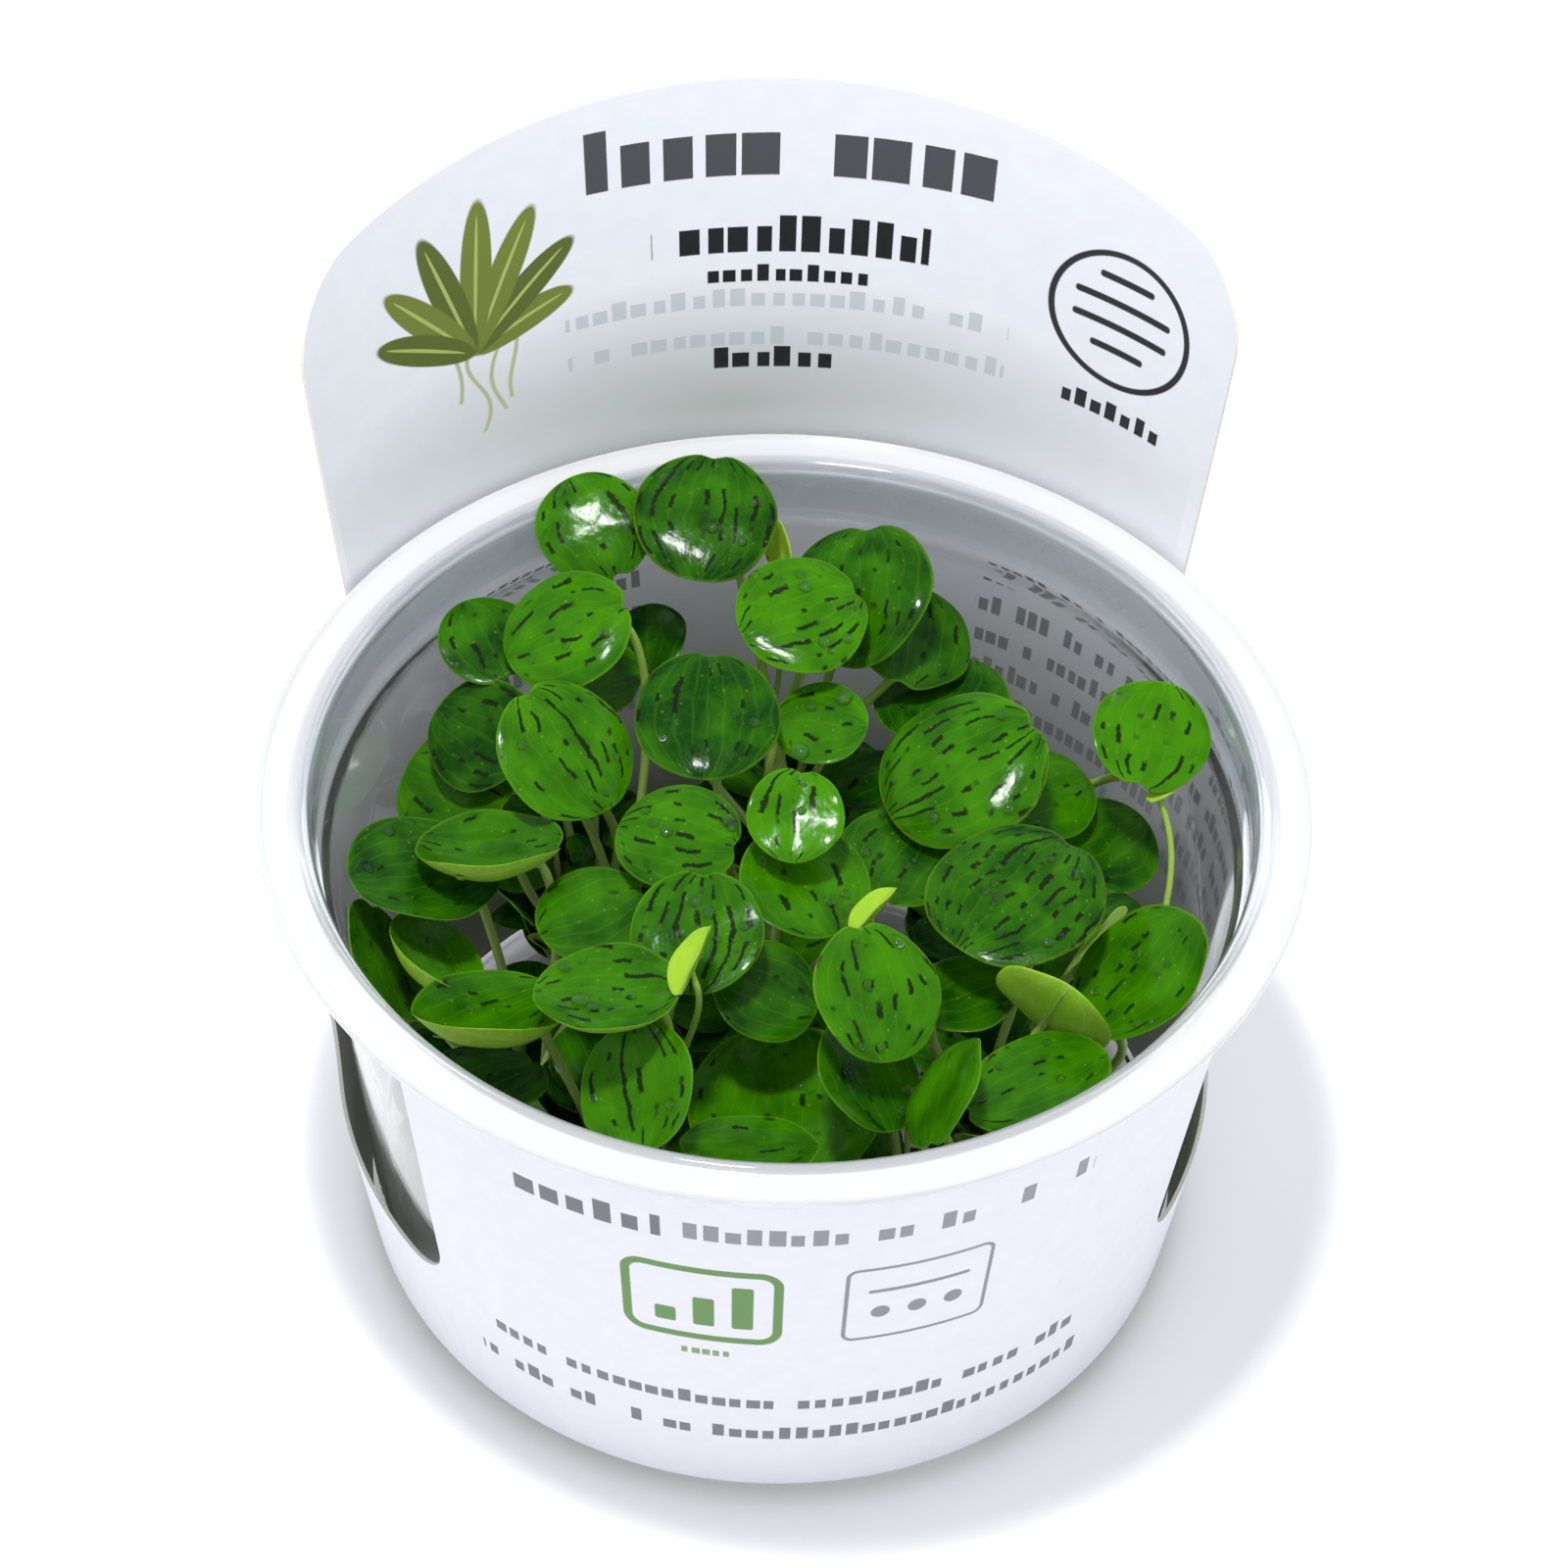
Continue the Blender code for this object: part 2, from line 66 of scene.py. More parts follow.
forward = Vector((0, math.cos(CAMERA_ELEVATION), -math.sin(CAMERA_ELEVATION)))
level = Vector((1, 0, 0))
raised = level.cross(forward)
right = level * math.cos(CAMERA_ROLL) + raised * math.sin(CAMERA_ROLL)
above = raised * math.cos(CAMERA_ROLL) - level * math.sin(CAMERA_ROLL)
lens = bpy.data.cameras.new("camera")
lens.lens = LENS
lens.clip_start = 0.01
camera = bpy.data.objects.new("camera", lens)
camera.matrix_world = (
    Matrix.Translation((LOOKS_AT - forward * CAMERA_DISTANCE) * MM)
    @ Matrix((right, above, -forward)).transposed().to_4x4()
)
scene.collection.objects.link(camera)
scene.camera = camera
scene.view_settings.view_transform = "Standard"
print("camera at", [round(v, 4) for v in camera.matrix_world.translation])

# %% [markdown]
# ## Four small helpers
# Colours are picked as sRGB hex codes, the way a paint chart gives them, but Blender's shaders want
# linear light, so one function turns them. A second one adds a node with its settings and its links. A
# third one starts a material and hands back its main shader, and a fourth one joins the finished layers
# to that shader. Many masks run from 1 down to 0 over a short distance, so those two ends have a name
# too.

# %% Colours, nodes and materials


def srgb(code):
    """An sRGB hex colour as linear red, green, blue and alpha."""
    channels = [int(code[i : i + 2], 16) / 255 for i in (1, 3, 5)]
    return (*(c / 12.92 if c <= 0.04045 else ((c + 0.055) / 1.055) ** 2.4 for c in channels), 1.0)


def add_node(tree, kind, inputs=None, **settings):
    """A new node. inputs gives its sockets values, or links from other nodes or from their outputs."""
    made = tree.nodes.new(kind)
    for name, value in settings.items():
        setattr(made, name, value)
    for name, value in (inputs or {}).items():
        if isinstance(value, bpy.types.Node):
            value = value.outputs[0]
        if isinstance(value, bpy.types.NodeSocket):
            tree.links.new(value, made.inputs[name])
        else:
            made.inputs[name].default_value = value
    return made


def new_material(name, **sockets):
    """A material, its node tree and its Principled shader. In a socket's name _ stands for a space."""
    material = bpy.data.materials.new(name)
    material.use_nodes = True
    shader = material.node_tree.nodes["Principled BSDF"]
    for socket, value in sockets.items():
        shader.inputs[socket.replace("_", " ")].default_value = value
    return material, material.node_tree, shader


def connect(tree, shader, **layers):
    """Links each finished layer to the shader's socket of that name."""
    for socket, layer in layers.items():
        tree.links.new(layer.outputs[0], shader.inputs[socket.replace("_", " ")])


FADE_OUT = {"To Min": 1.0, "To Max": 0.0}
print("sRGB #808080 in linear light:", round(srgb("#808080")[0], 3))


# %% [markdown]
# ## The studio
# The picture has a plain white ground and soft light. A pale board serves as the floor, and a white
# room gives most of the light, which also keeps the clear plastic bright. One small softbox hangs above
# the cup. It lights the header and the leaves, and lies on the wax as small bright gleams.

# %% Floor and light
FLOOR_SIZE = 3000
FLOOR_DROP = 0.1
ROOM_BRIGHTNESS = 0.92
SOFTBOX_PLACE, SOFTBOX_FACES = (-50, -60, 600), (0, 0, 45)
SOFTBOX_SIZE = (60, 50)
SOFTBOX_WATTS = 2.2

half = FLOOR_SIZE / 2 * MM
floor_mesh = bpy.data.meshes.new("floor")
floor_corners = [(-half, -half), (half, -half), (half, half), (-half, half)]
floor_mesh.from_pydata([(x, y, -FLOOR_DROP * MM) for x, y in floor_corners], [], [(0, 1, 2, 3)])
floor = bpy.data.objects.new("floor", floor_mesh)
scene.collection.objects.link(floor)
board, _, shader = new_material("white painted board", Roughness=0.9, Specular_IOR_Level=0.1)
shader.inputs["Base Color"].default_value = srgb("#fbfbfb")
floor_mesh.materials.append(board)

room = bpy.data.worlds.new("white room")
room.use_nodes = True
room.node_tree.nodes["Background"].inputs["Color"].default_value = srgb("#f4f6fa")
room.node_tree.nodes["Background"].inputs["Strength"].default_value = ROOM_BRIGHTNESS
scene.world = room

lamp = bpy.data.lights.new("softbox above", "AREA")
lamp.shape = "RECTANGLE"
lamp.size, lamp.size_y = (side * MM for side in SOFTBOX_SIZE)
lamp.energy = SOFTBOX_WATTS
softbox = bpy.data.objects.new("softbox above", lamp)
softbox.location = Vector(SOFTBOX_PLACE) * MM
softbox.rotation_euler = (Vector(SOFTBOX_FACES) - Vector(SOFTBOX_PLACE)).to_track_quat("-Z", "Y").to_euler()
scene.collection.objects.link(softbox)
print("studio: a floor of", FLOOR_SIZE, "mm and a softbox of", SOFTBOX_SIZE, "mm")

# %% [markdown]
# ## From points to pieces
# Every piece here is a mesh made from numbers. A heap gathers closed shapes into one mesh. It also
# keeps notes for each point, which the materials read later: "grain", a place in millimetres measured
# along the piece itself, "margin", how near the rim of a leaf a point is, and "tone" and "marks", which
# make one leaf lighter or more streaked than the next.

# %% Heap


class Heap:
    """Closed shapes gathered into one mesh: points in mm, faces, material slots and the points' notes."""

    NOTES = ("margin", "tone", "marks")

    def __init__(self):
        self.points = []
        self.faces = []
        self.slots = []
        self.grain = []
        self.notes = {name: [] for name in self.NOTES}
        self.count = 0

    def add(self, points, faces, slot, grain, **notes):
        """Adds a shape. slot is one slot, or one a face; a note is one value, or one for each point."""
        slots = slot if isinstance(slot, list) else [slot] * len(faces)
        self.points.append(points)
        self.faces += [[corner + self.count for corner in face] for face in faces]
        self.slots += slots
        self.grain.append(np.broadcast_to(grain, points.shape))
        for name in self.NOTES:
            self.notes[name].append(np.broadcast_to(notes.get(name, 0.0), len(points)))
        self.count += len(points)

    def piece(self, name, materials, sharp=None):
        """The heap as a piece that rides on the CAD's body. Edges bent by more than sharp degrees crease."""
        mesh = bpy.data.meshes.new(name)
        mesh.from_pydata((np.concatenate(self.points) * MM).tolist(), [], self.faces)
        mesh.polygons.foreach_set("material_index", self.slots)
        for material in materials:
            mesh.materials.append(material)
        mesh.shade_smooth()
        if sharp:
            mesh.set_sharp_from_angle(angle=math.radians(sharp))
        grain = mesh.attributes.new("grain", "FLOAT_VECTOR", "POINT")
        grain.data.foreach_set("vector", np.concatenate(self.grain).astype(np.float32).ravel())
        for note, values in self.notes.items():
            attribute = mesh.attributes.new(note, "FLOAT", "POINT")
            attribute.data.foreach_set("value", np.concatenate(values).astype(np.float32))
        made = bpy.data.objects.new(name, mesh)
        scene.collection.objects.link(made)
        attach(made, "root")
        return made


print("notes on each point:", "grain,", ", ".join(Heap.NOTES))

# %% [markdown]
# Two kinds of shape come back in several pieces: a profile turned about an upright axis, and a round
# tube along a path. Both are stacks of rings, joined by quads, with a fan of triangles at each end.

# %% Turned shapes and tubes


def ring_faces(lower, upper, count):
    """Quads between two rings of count points that start at these numbers."""
    turns = [(i, (i + 1) % count) for i in range(count)]
    return [[lower + i, lower + j, upper + j, upper + i] for i, j in turns]


def turned(profile, segments):
    """Points and faces of a profile of (radius, height) that starts and ends on the axis, turned about Z."""
    turn = np.linspace(0, 2 * np.pi, segments, endpoint=False)
    circle = np.column_stack((np.cos(turn), np.sin(turn), np.zeros(segments)))
    rings = [radius * circle + (0, 0, height) for radius, height in profile[1:-1]]
    points = np.concatenate([[(0, 0, profile[0][1])], *rings, [(0, 0, profile[-1][1])]])
    last = 1 + segments * (len(rings) - 1)
    faces = [[0, 1 + (i + 1) % segments, 1 + i] for i in range(segments)]
    for index in range(len(rings) - 1):
        faces += ring_faces(1 + index * segments, 1 + (index + 1) * segments, segments)
    faces += [[last + i, last + (i + 1) % segments, len(points) - 1] for i in range(segments)]
    return points, faces


def tube(path, radii, sides):
    """Points, faces and grain of a closed round tube. The grain's X and Y go round it and its Z along it."""
    path = np.asarray(path, float)
    ahead = np.gradient(path, axis=0)
    ahead /= np.linalg.norm(ahead, axis=1)[:, None]
    side = np.cross(ahead[0], (0, 0, 1) if abs(ahead[0][2]) < 0.9 else (1, 0, 0))
    length = np.concatenate(([0], np.cumsum(np.linalg.norm(np.diff(path, axis=0), axis=1))))
    turn = np.linspace(0, 2 * np.pi, sides, endpoint=False)
    rings, grain = [], []
    for centre, direction, radius, along in zip(path, ahead, radii, length):
        side = side - direction * side.dot(direction)
        side /= np.linalg.norm(side)
        over = np.cross(direction, side)
        rings.append(centre + radius * (np.outer(np.cos(turn), side) + np.outer(np.sin(turn), over)))
        grain.append(np.column_stack((np.cos(turn), np.sin(turn), np.full(sides, along))))
    points = np.concatenate([path[:1], *rings, path[-1:]])
    grain = np.concatenate([[(0, 0, 0)], *grain, [(0, 0, length[-1])]])
    last = 1 + sides * (len(path) - 1)
    faces = [[0, 1 + (i + 1) % sides, 1 + i] for i in range(sides)]
    for index in range(len(path) - 1):
        faces += ring_faces(1 + index * sides, 1 + (index + 1) * sides, sides)
    faces += [[last + i, last + (i + 1) % sides, len(points) - 1] for i in range(sides)]
    return points, faces, grain


tube_points, tube_faces, _ = tube([(0, 0, 0), (0, 0, 5), (2, 0, 9)], (1, 1, 0.8), 8)
print("a tube of 3 rings:", len(tube_points), "points,", len(tube_faces), "faces")


# %% [markdown]
# ## The clear cup
# The cup is formed from a warm sheet of clear PET that is drawn into a mould, so its wall is thin and
# its corners are soft. We draw half of its section as a profile, round each corner, and turn it about
# the axis. The flange has a low bead at each edge, which catches the thin bright lines seen round the
# mouth.

# %% Cup shape
CUP_SEGMENTS = 192
CORNER_STEPS = 4

CUP_PROFILE = [
    # radius, height, corner rounding, in mm
    (0, 0, 0),
    (34.9, 0, 1.2),
    (36.25, 1.25, 1.2),
    (39.92, 45, 0.5),
    (41.15, 46, 0.5),
    (41.2, 50, 0.3),
    (44.55, 50, 0.3),
    (45, 50.5, 0.3),
    (45, 51.2, 0.25),
    (44.6, 51.5, 0.2),
    (44.1, 51.15, 0.3),
    (42.2, 51.1, 0.3),
    (41.6, 51.48, 0.2),
    (41.0, 51.4, 0.3),
    (40.3, 50.2, 0.5),
    (40.0, 46.1, 0.4),
    (39.0, 44.2, 0.6),
    (35.45, 2.8, 1.0),
    (34.2, 1.5, 1.0),
    (0, 1.5, 0),
]


def rounded(profile):
    """The profile with each corner replaced by a short curve."""
    corners = [(np.array(corner[:2], float), corner[2]) for corner in profile]
    made = [tuple(corners[0][0])]
    for (before, _), (corner, radius), (after, _) in zip(corners, corners[1:], corners[2:]):
        back, on = before - corner, after - corner
        cut = min(radius, 0.45 * np.linalg.norm(back), 0.45 * np.linalg.norm(on))
        start = corner + back / np.linalg.norm(back) * cut
        end = corner + on / np.linalg.norm(on) * cut
        for share in np.linspace(0, 1, CORNER_STEPS + 1):
            made.append(tuple((1 - share) ** 2 * start + 2 * share * (1 - share) * corner + share**2 * end))
    return made + [tuple(corners[-1][0])]


cup_heap = Heap()
cup_points, cup_faces = turned(rounded(CUP_PROFILE), CUP_SEGMENTS)
cup_heap.add(cup_points, cup_faces, 0, cup_points)
print("cup:", len(cup_faces), "faces")

# %% [markdown]
# Clear PET bends light a little more than glass does and has almost no colour. What gives it away to
# the eye are faint upright waves, where the sheet stretched down the mould's wall, so the bump's noise
# is long upwards and about 4 mm wide round the cup. The flange was clamped while it was hot and cooled
# slowly, so it is a little milky: there a part of the light scatters instead of passing through, and
# the flange shows as a pale ring. At the ledge below it light crosses more plastic, which shows as a
# thin line of light blue.

# %% Clear thermoformed PET
PET_IOR = 1.57
CLEAR_WALL, MILKY_FLANGE = 0.97, 0.45
FLANGE_START, FLANGE_FULL = 40.2, 42.4
LEDGE_RADIUS, LEDGE_HALF_WIDTH = 40.65, 0.7

pet, tree, shader = new_material("clear PET, thermoformed", IOR=PET_IOR, Specular_IOR_Level=0.25)
grain = add_node(tree, "ShaderNodeAttribute", attribute_name="grain")
level = add_node(tree, "ShaderNodeVectorMath", {0: grain, 1: (1, 1, 0)}, operation="MULTIPLY")
radius = add_node(tree, "ShaderNodeVectorMath", {0: level}, operation="LENGTH").outputs["Value"]
from_ledge = add_node(tree, "ShaderNodeMath", {0: radius, 1: LEDGE_RADIUS}, operation="SUBTRACT")
from_ledge = add_node(tree, "ShaderNodeMath", {0: from_ledge}, operation="ABSOLUTE")
ends = {"From Min": LEDGE_HALF_WIDTH * 0.6, "From Max": LEDGE_HALF_WIDTH, **FADE_OUT}
ledge = add_node(tree, "ShaderNodeMapRange", {"Value": from_ledge, **ends})
tint = {"Fac": ledge, "Color1": srgb("#fcfdff"), "Color2": srgb("#eff5fa")}
tint = add_node(tree, "ShaderNodeMixRGB", tint)
ends = {"From Min": FLANGE_START, "From Max": FLANGE_FULL, "To Min": CLEAR_WALL, "To Max": MILKY_FLANGE}
clearness = add_node(tree, "ShaderNodeMapRange", {"Value": radius, **ends})
connect(tree, shader, Base_Color=tint, Transmission_Weight=clearness)
print("share of light let through:", CLEAR_WALL, "in the wall,", MILKY_FLANGE, "in the flange")

# %% [markdown]
# The waves, and a gloss that is a little uneven, are the last layers. Then the cup is one piece, which
# stands for the CAD's cup.

# %% PET's waves and smears
WAVE_WIDTH = 4.0
WAVE_STRETCH = 0.08
SMEAR_WIDTH = 25 / 3

stretched = add_node(tree, "ShaderNodeVectorMath", {0: grain, 1: (1, 1, WAVE_STRETCH)}, operation="MULTIPLY")
waves = add_node(tree, "ShaderNodeTexNoise", {"Vector": stretched, "Scale": 1 / WAVE_WIDTH, "Detail": 1.0})
smear = add_node(tree, "ShaderNodeTexNoise", {"Vector": grain, "Scale": 1 / SMEAR_WIDTH, "Detail": 2.0})
ends = {"From Min": 0.4, "From Max": 0.75, "To Min": 0.02, "To Max": 0.05}
gloss = add_node(tree, "ShaderNodeMapRange", {"Value": smear, **ends})
relief = add_node(tree, "ShaderNodeBump", {"Height": waves, "Strength": 0.25, "Distance": 0.15 * MM})
connect(tree, shader, Roughness=gloss, Normal=relief)
print("waves every", WAVE_WIDTH, "mm, drawn out", round(1 / WAVE_STRETCH, 1), "times upwards")

cup = cup_heap.piece("clear_cup", [pet], sharp=60)
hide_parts("cup")

# %% [markdown]
# ## The card sleeve
# One piece of stiff card runs round the cup. It rises behind the cup as a tall header with round
# corners, stands low in front as a panel, and is cut down to a band at both sides, so that the plants
# show through a window there. We describe it by two readings, the azimuth round the cup and the height,
# and walk round the cup in narrow columns.

# %% Sleeve shape
CARD = 0.35
SLEEVE_BOTTOM = 2.0
WINDOW_BOTTOM = 15.5
WINDOW_ROUND = 5.0
PANEL_TOP = 48.0
PANEL_RADIUS, PANEL_FLARE = 36.6, 0.125
BACK_RADIUS, BACK_FLARE, BACK_CURVE = 36.9, 0.21, 0.0006
PANEL_LEFT, PANEL_RIGHT = -46.0, 59.5
SIDE_RIGHT, SIDE_LEFT = 100.0, 269.5
BACK_RIGHT, BACK_LEFT = 130.0, 239.5
CARD_TOP, CARD_TOP_RADIUS = 87.9, 160.0
CARD_HALF_WIDTH, CARD_CORNER = 45.8, 7.5


def smooth(low, high, value):
    """Goes from 0 at low to 1 at high, and starts and ends gently."""
    share = min(1, max(0, (value - low) / (high - low)))
    return share * share * (3 - 2 * share)


def sleeve_radius(azimuth, height):
    """The card's radius: the front panel's cone, the back's wider curve, and a smooth change between."""
    if azimuth < BACK_RIGHT:
        share = smooth(PANEL_RIGHT, BACK_RIGHT, azimuth)
    else:
        share = 1 - smooth(BACK_LEFT, PANEL_LEFT + 360, azimuth)
    front = PANEL_RADIUS + PANEL_FLARE * height
    back = BACK_RADIUS + BACK_FLARE * height - BACK_CURVE * height**2
    return front * (1 - share) + back * share


def band_top(azimuth):
    """The lower edge of a window, which rises round a corner at each end."""
    from_end = 0
    for start, end in ((PANEL_RIGHT, SIDE_RIGHT), (SIDE_LEFT, PANEL_LEFT + 360)):
        if start < azimuth < end:
            from_end = min(azimuth - start, end - azimuth)
    along = min(WINDOW_ROUND, math.radians(from_end) * PANEL_RADIUS)
    return WINDOW_BOTTOM + WINDOW_ROUND - math.sqrt(WINDOW_ROUND**2 - (WINDOW_ROUND - along) ** 2)


def card_top(azimuth):
    """The header's upper edge: one wide arc with a rounded corner at each end."""
    middle = (BACK_RIGHT + BACK_LEFT) / 2
    across = CARD_HALF_WIDTH * abs(azimuth - middle) / (BACK_LEFT - middle)
    arc = CARD_TOP - CARD_TOP_RADIUS + math.sqrt(CARD_TOP_RADIUS**2 - across**2)
    into_corner = max(0, across - CARD_HALF_WIDTH + CARD_CORNER)
    return arc - CARD_CORNER + math.sqrt(max(0, CARD_CORNER**2 - into_corner**2))


for part, azimuth in (("front", 0), ("back", 180)):
    print(f"the card's radius at the {part}, 25 mm up: {sleeve_radius(azimuth, 25):.1f} mm")

# %% [markdown]
# The columns stand closer together near each end of a stretch, where the outline turns. A column starts
# so many rows of card: only the band under a window, the band and a panel, or all of that and the
# header.

# %% Sleeve columns
COLUMN_STEP = 1.5
BAND_ROWS, PANEL_ROWS, HEADER_ROWS = 6, 12, 14


def stepped(low, high, count):
    """count heights above low, evenly spaced, the last of them at high."""
    return [low + (high - low) * row / count for row in range(1, count + 1)]


def sleeve_columns():
    """Each column's azimuth, its heights, and how many rows of card it starts."""
    stretches = [
        (PANEL_LEFT, PANEL_RIGHT, PANEL_ROWS),
        (PANEL_RIGHT, SIDE_RIGHT, 0),
        (SIDE_RIGHT, BACK_RIGHT, PANEL_ROWS),
        (BACK_RIGHT, BACK_LEFT, PANEL_ROWS + HEADER_ROWS),
        (BACK_LEFT, SIDE_LEFT, PANEL_ROWS),
        (SIDE_LEFT, PANEL_LEFT + 360, 0),
    ]
    columns = []
    for start, end, rows in stretches:
        count = math.ceil((end - start) / COLUMN_STEP)
        for step in range(count):
            share = (1 - math.cos(math.pi * step / count)) / 2
            columns.append((start + (end - start) * share, rows))
    for index, (azimuth, rows) in enumerate(columns):
        reach = max(rows, columns[index - 1][1])
        low = band_top(azimuth)
        heights = [SLEEVE_BOTTOM, *stepped(SLEEVE_BOTTOM, low, BAND_ROWS)]
        if reach:
            heights += stepped(low, PANEL_TOP, PANEL_ROWS)
        if reach > PANEL_ROWS:
            heights += stepped(PANEL_TOP, card_top(azimuth), HEADER_ROWS)
        yield azimuth, heights, rows


print("the tallest column has", max(len(heights) for _, heights, _ in sleeve_columns()), "points")

# %% [markdown]
# The columns give the outer and the inner face of the card. Where a face ends, a narrow strip joins the
# two, and that strip is the cut edge. The print needs flat coordinates, as on the sheet before it is
# bent, so each corner of each face gets a UV in millimetres: round the cup at a radius of 45 mm, and up
# it.

# %% Sleeve mesh
PRINT_RADIUS = 45.0
MM_PER_DEGREE = PRINT_RADIUS * math.pi / 180

outer, inner, flat, quads = [], [], [], []
columns = list(sleeve_columns())
starts = []
for azimuth, heights, _ in columns:
    starts.append(len(outer))
    turn = math.radians(azimuth)
    for height in heights:
        for side, points in ((CARD / 2, outer), (-CARD / 2, inner)):
            radius = sleeve_radius(azimuth, height) + side
            points.append((radius * math.sin(turn), -radius * math.cos(turn), height))
        flat.append((azimuth * MM_PER_DEGREE, height))
for index, (_, _, rows) in enumerate(columns):
    near, far = starts[index], starts[(index + 1) % len(columns)]
    quads += [[near + row, far + row, far + row + 1, near + row + 1] for row in range(BAND_ROWS + rows)]

inside = len(outer)
edges = {(a, b) for quad in quads for a, b in zip(quad, quad[1:] + quad[:1])}
cut_edges = sorted((a, b) for a, b in edges if (b, a) not in edges)
sleeve_faces = quads + [[corner + inside for corner in reversed(quad)] for quad in quads]
sleeve_faces += [[b, a, a + inside, b + inside] for a, b in cut_edges]
OUTSIDE, INSIDE, CUT = 0, 1, 2
sleeve_slots = [OUTSIDE] * len(quads) + [INSIDE] * len(quads) + [CUT] * len(cut_edges)
sleeve_heap = Heap()
sleeve_points = np.array(outer + inner)
sleeve_heap.add(sleeve_points, sleeve_faces, sleeve_slots, sleeve_points)


def add_flat_uv(mesh, places, whole_turn):
    """Writes a UV in millimetres to each corner. A face that closes the loop keeps its corners together."""
    layer = mesh.uv_layers.new(name="flat")
    for polygon in mesh.polygons:
        loops = list(polygon.loop_indices)
        uv = [list(places[mesh.loops[loop].vertex_index % len(places)]) for loop in loops]
        highest = max(u for u, _ in uv)
        for loop, (u, v) in zip(loops, uv):
            layer.data[loop].uv = (u + whole_turn if highest - u > whole_turn / 2 else u, v)


print("sleeve:", len(sleeve_faces), "faces,", len(columns), "columns")

# %% [markdown]
# ## The print
# The print is a generic one: rows of plain blocks, framed signs made of bars and dots, and a tuft of
# leaves. All of it is drawn by nodes in the card's flat millimetres, so it stays sharp at any size. A
# stamp gives 1 where the ink lies and 0 elsewhere. The basic stamp is a rounded box: the distance from
# its core, compared with its corner radius. An oval is a circle in stretched coordinates.

# %% Box and oval stamps
SOFT_EDGE = 0.06


def stamp_box(tree, place, box, corner, line=0.0):
    """1 inside a rounded box of (left, right, low, high) in mm, or on its outline if line is its width."""
    left, right_end, low, high = box
    middle = ((left + right_end) / 2, (low + high) / 2, 0)
    core = ((right_end - left) / 2 - corner, (high - low) / 2 - corner, 1)
    away = add_node(tree, "ShaderNodeVectorMath", {0: place, 1: middle}, operation="SUBTRACT")
    away = add_node(tree, "ShaderNodeVectorMath", {0: away}, operation="ABSOLUTE")
    away = add_node(tree, "ShaderNodeVectorMath", {0: away, 1: core}, operation="SUBTRACT")
    away = add_node(tree, "ShaderNodeVectorMath", {0: away, 1: (0, 0, 0)}, operation="MAXIMUM")
    away = add_node(tree, "ShaderNodeVectorMath", {0: away}, operation="LENGTH").outputs["Value"]
    reach = corner
    if line:
        away = add_node(tree, "ShaderNodeMath", {0: away, 1: corner - line / 2}, operation="SUBTRACT")
        away = add_node(tree, "ShaderNodeMath", {0: away}, operation="ABSOLUTE")
        reach = line / 2
    ends = {"From Min": reach - SOFT_EDGE, "From Max": reach + SOFT_EDGE, **FADE_OUT}
    return add_node(tree, "ShaderNodeMapRange", {"Value": away, **ends})


def stamp_oval(tree, place, middle, size, turn, soft):
    """1 inside an oval of (length, width) in mm, turned by so many degrees, with an edge as soft as given."""
    spun = {"Vector": place, "Center": (*middle, 0), "Angle": -math.radians(turn)}
    away = add_node(tree, "ShaderNodeVectorRotate", spun, rotation_type="Z_AXIS")
    away = add_node(tree, "ShaderNodeVectorMath", {0: away, 1: (*middle, 0)}, operation="SUBTRACT")
    radii = (size[0] / 2, size[1] / 2, 1)
    away = add_node(tree, "ShaderNodeVectorMath", {0: away, 1: radii}, operation="DIVIDE")
    away = add_node(tree, "ShaderNodeVectorMath", {0: away}, operation="LENGTH").outputs["Value"]
    ends = {"From Min": 1 - soft, "From Max": 1 + soft, **FADE_OUT}
    return add_node(tree, "ShaderNodeMapRange", {"Value": away, **ends})


print("a stamp's edge is", 2 * SOFT_EDGE, "mm wide")

# %% [markdown]
# A row of blocks is worked out block by block: the whole part of the distance along the row numbers the
# block, and a random value from that number decides whether it is there, how wide it is and how tall.

# %% Row stamp
ROW_SEED, WIDTH_SEED = 7.3, 5.7
SPACE_UNDER, TALL_OVER = 0.13, 0.75
SHORT_HEIGHT = 0.7
WIDTH_LESS, WIDTH_CHANGE = 0.15, 0.25
BLOCK_CORNER = 0.1


